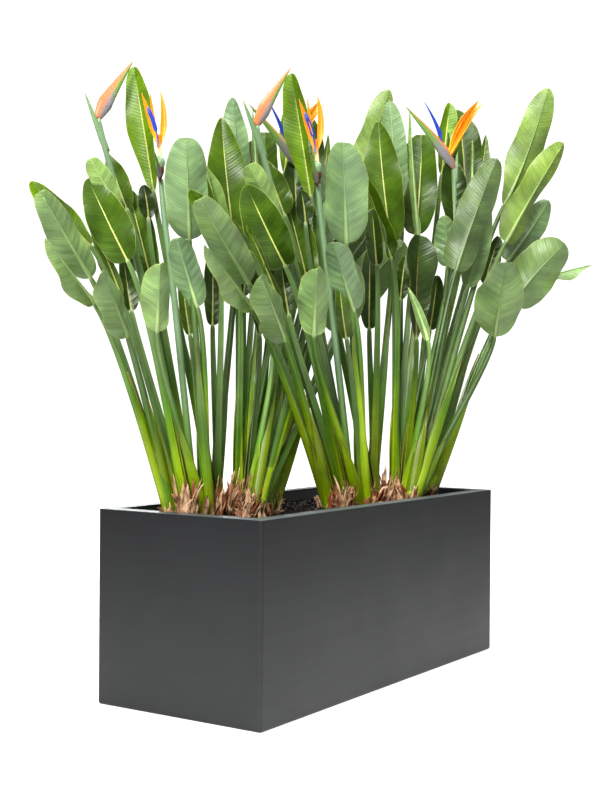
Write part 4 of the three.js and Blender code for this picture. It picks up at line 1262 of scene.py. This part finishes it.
soil = {
    "step": 3.6,  # millimetres between the surface's points
    "gap": 0.35,
    "ripple": 3.0,
    "heap": 48.0,
    "lump": 22.0,
    "flatFrom": (465, 170),
    "margin": 60.0,
    "rough": 1.5,
    "shortWaves": 26,
    "crumbs": (1500, 1.5, 5.0, 0.75),  # how many, smallest and largest half size, and how flat
    "perlite": (230, 0.8, 2.0, 0.8),
}


# Low heaps and lumps as in the solid, flat along the walls, with a sum of short waves on top.
def soilHeight(x, y):
    flatX, flatY = soil["flatFrom"]
    edge = np.clip(np.minimum(flatX - np.abs(x), flatY - np.abs(y)) / soil["margin"], 0, 1)
    heaps = np.sin(x / soil["heap"] + 0.6) * np.cos(1.6 * y / soil["heap"])
    lumps = 0.6 * np.sin((x - 1.1 * y) / soil["lump"])
    waves = np.random.default_rng(5)
    rough = np.zeros(np.shape(x))
    for _ in range(soil["shortWaves"]):
        way, length, start = waves.uniform(0, math.pi), waves.uniform(8, 30), waves.uniform(0, 6)
        rough = rough + np.sin((x * math.cos(way) + y * math.sin(way)) * 2 * math.pi / length + start)
    return soil["ripple"] * (heaps + lumps) * edge + soil["rough"] * rough / 5


def grainShell(place, size, squash):  # a small uneven ball: rings whose radius wobbles
    rings, sides = 5, 6
    t = np.linspace(0.12, math.pi - 0.12, rings)[:, None]
    c, s = ringOf(sides)
    wobble = 1 + dice.uniform(-0.28, 0.28, (rings, sides))
    grain = np.stack([np.sin(t) * c * wobble, np.sin(t) * s * wobble, -np.cos(t) * squash * wobble], -1)
    points, quads = closedTube(grain * size + place)
    return points / 1000, quads, {}


# The bed's top is the soil's height over a grid between the walls and its bottom is flat. Crumbs and
# perlite lie at random spots, sunk a little into it.
def makeSoil(size):
    halfX, halfY = (planter[side] / 2 - planter["wall"] - size["gap"] for side in ("length", "width"))
    x = np.linspace(-halfX, halfX, int(2 * halfX / size["step"]))
    y = np.linspace(-halfY, halfY, int(2 * halfY / size["step"]))
    gridX, gridY = np.meshgrid(x, y, indexing="ij")
    top = np.stack([gridX, gridY, soilTop + soilHeight(gridX, gridY)], -1)
    bottom = np.stack([gridX, gridY, np.full(gridX.shape, planter["floor"] + size["gap"])], -1)
    points, quads = closedSheet(top, bottom)
    newPiece("soilBed", [(points / 1000, quads, {})], soilSkin, ["soil"])
    for name, grains, skin in (("soilCrumbs", size["crumbs"], soilSkin),
                               ("perliteGrains", size["perlite"], perliteSkin)):
        count, low, high, squash = grains
        spots = np.column_stack([dice.uniform(4 - half, half - 4, count) for half in (halfX, halfY)])
        sizes = dice.uniform(low, high, count)
        heights = soilTop + soilHeight(spots[:, 0], spots[:, 1]) + 0.2 * sizes
        shells = [grainShell(np.array([*spot, height]), grain, squash)
                  for spot, height, grain in zip(spots, heights, sizes)]
        newPiece(name, shells, skin)


makeSoil(soil)
print("soil made")

half = studio["floorHalf"]
corners = [(x * half, y * half, 0) for x, y in ((-1, -1), (1, -1), (1, 1), (-1, 1))]
floorMesh = bpy.data.meshes.new("floor")
floorMesh.from_pydata(corners, [], [(0, 1, 2, 3)])
floorMesh.materials.append(makeFloor(studio))
floor = bpy.data.objects.new("floor", floorMesh)
bpy.context.scene.collection.objects.link(floor)
print("floor laid")

print("scene complete")
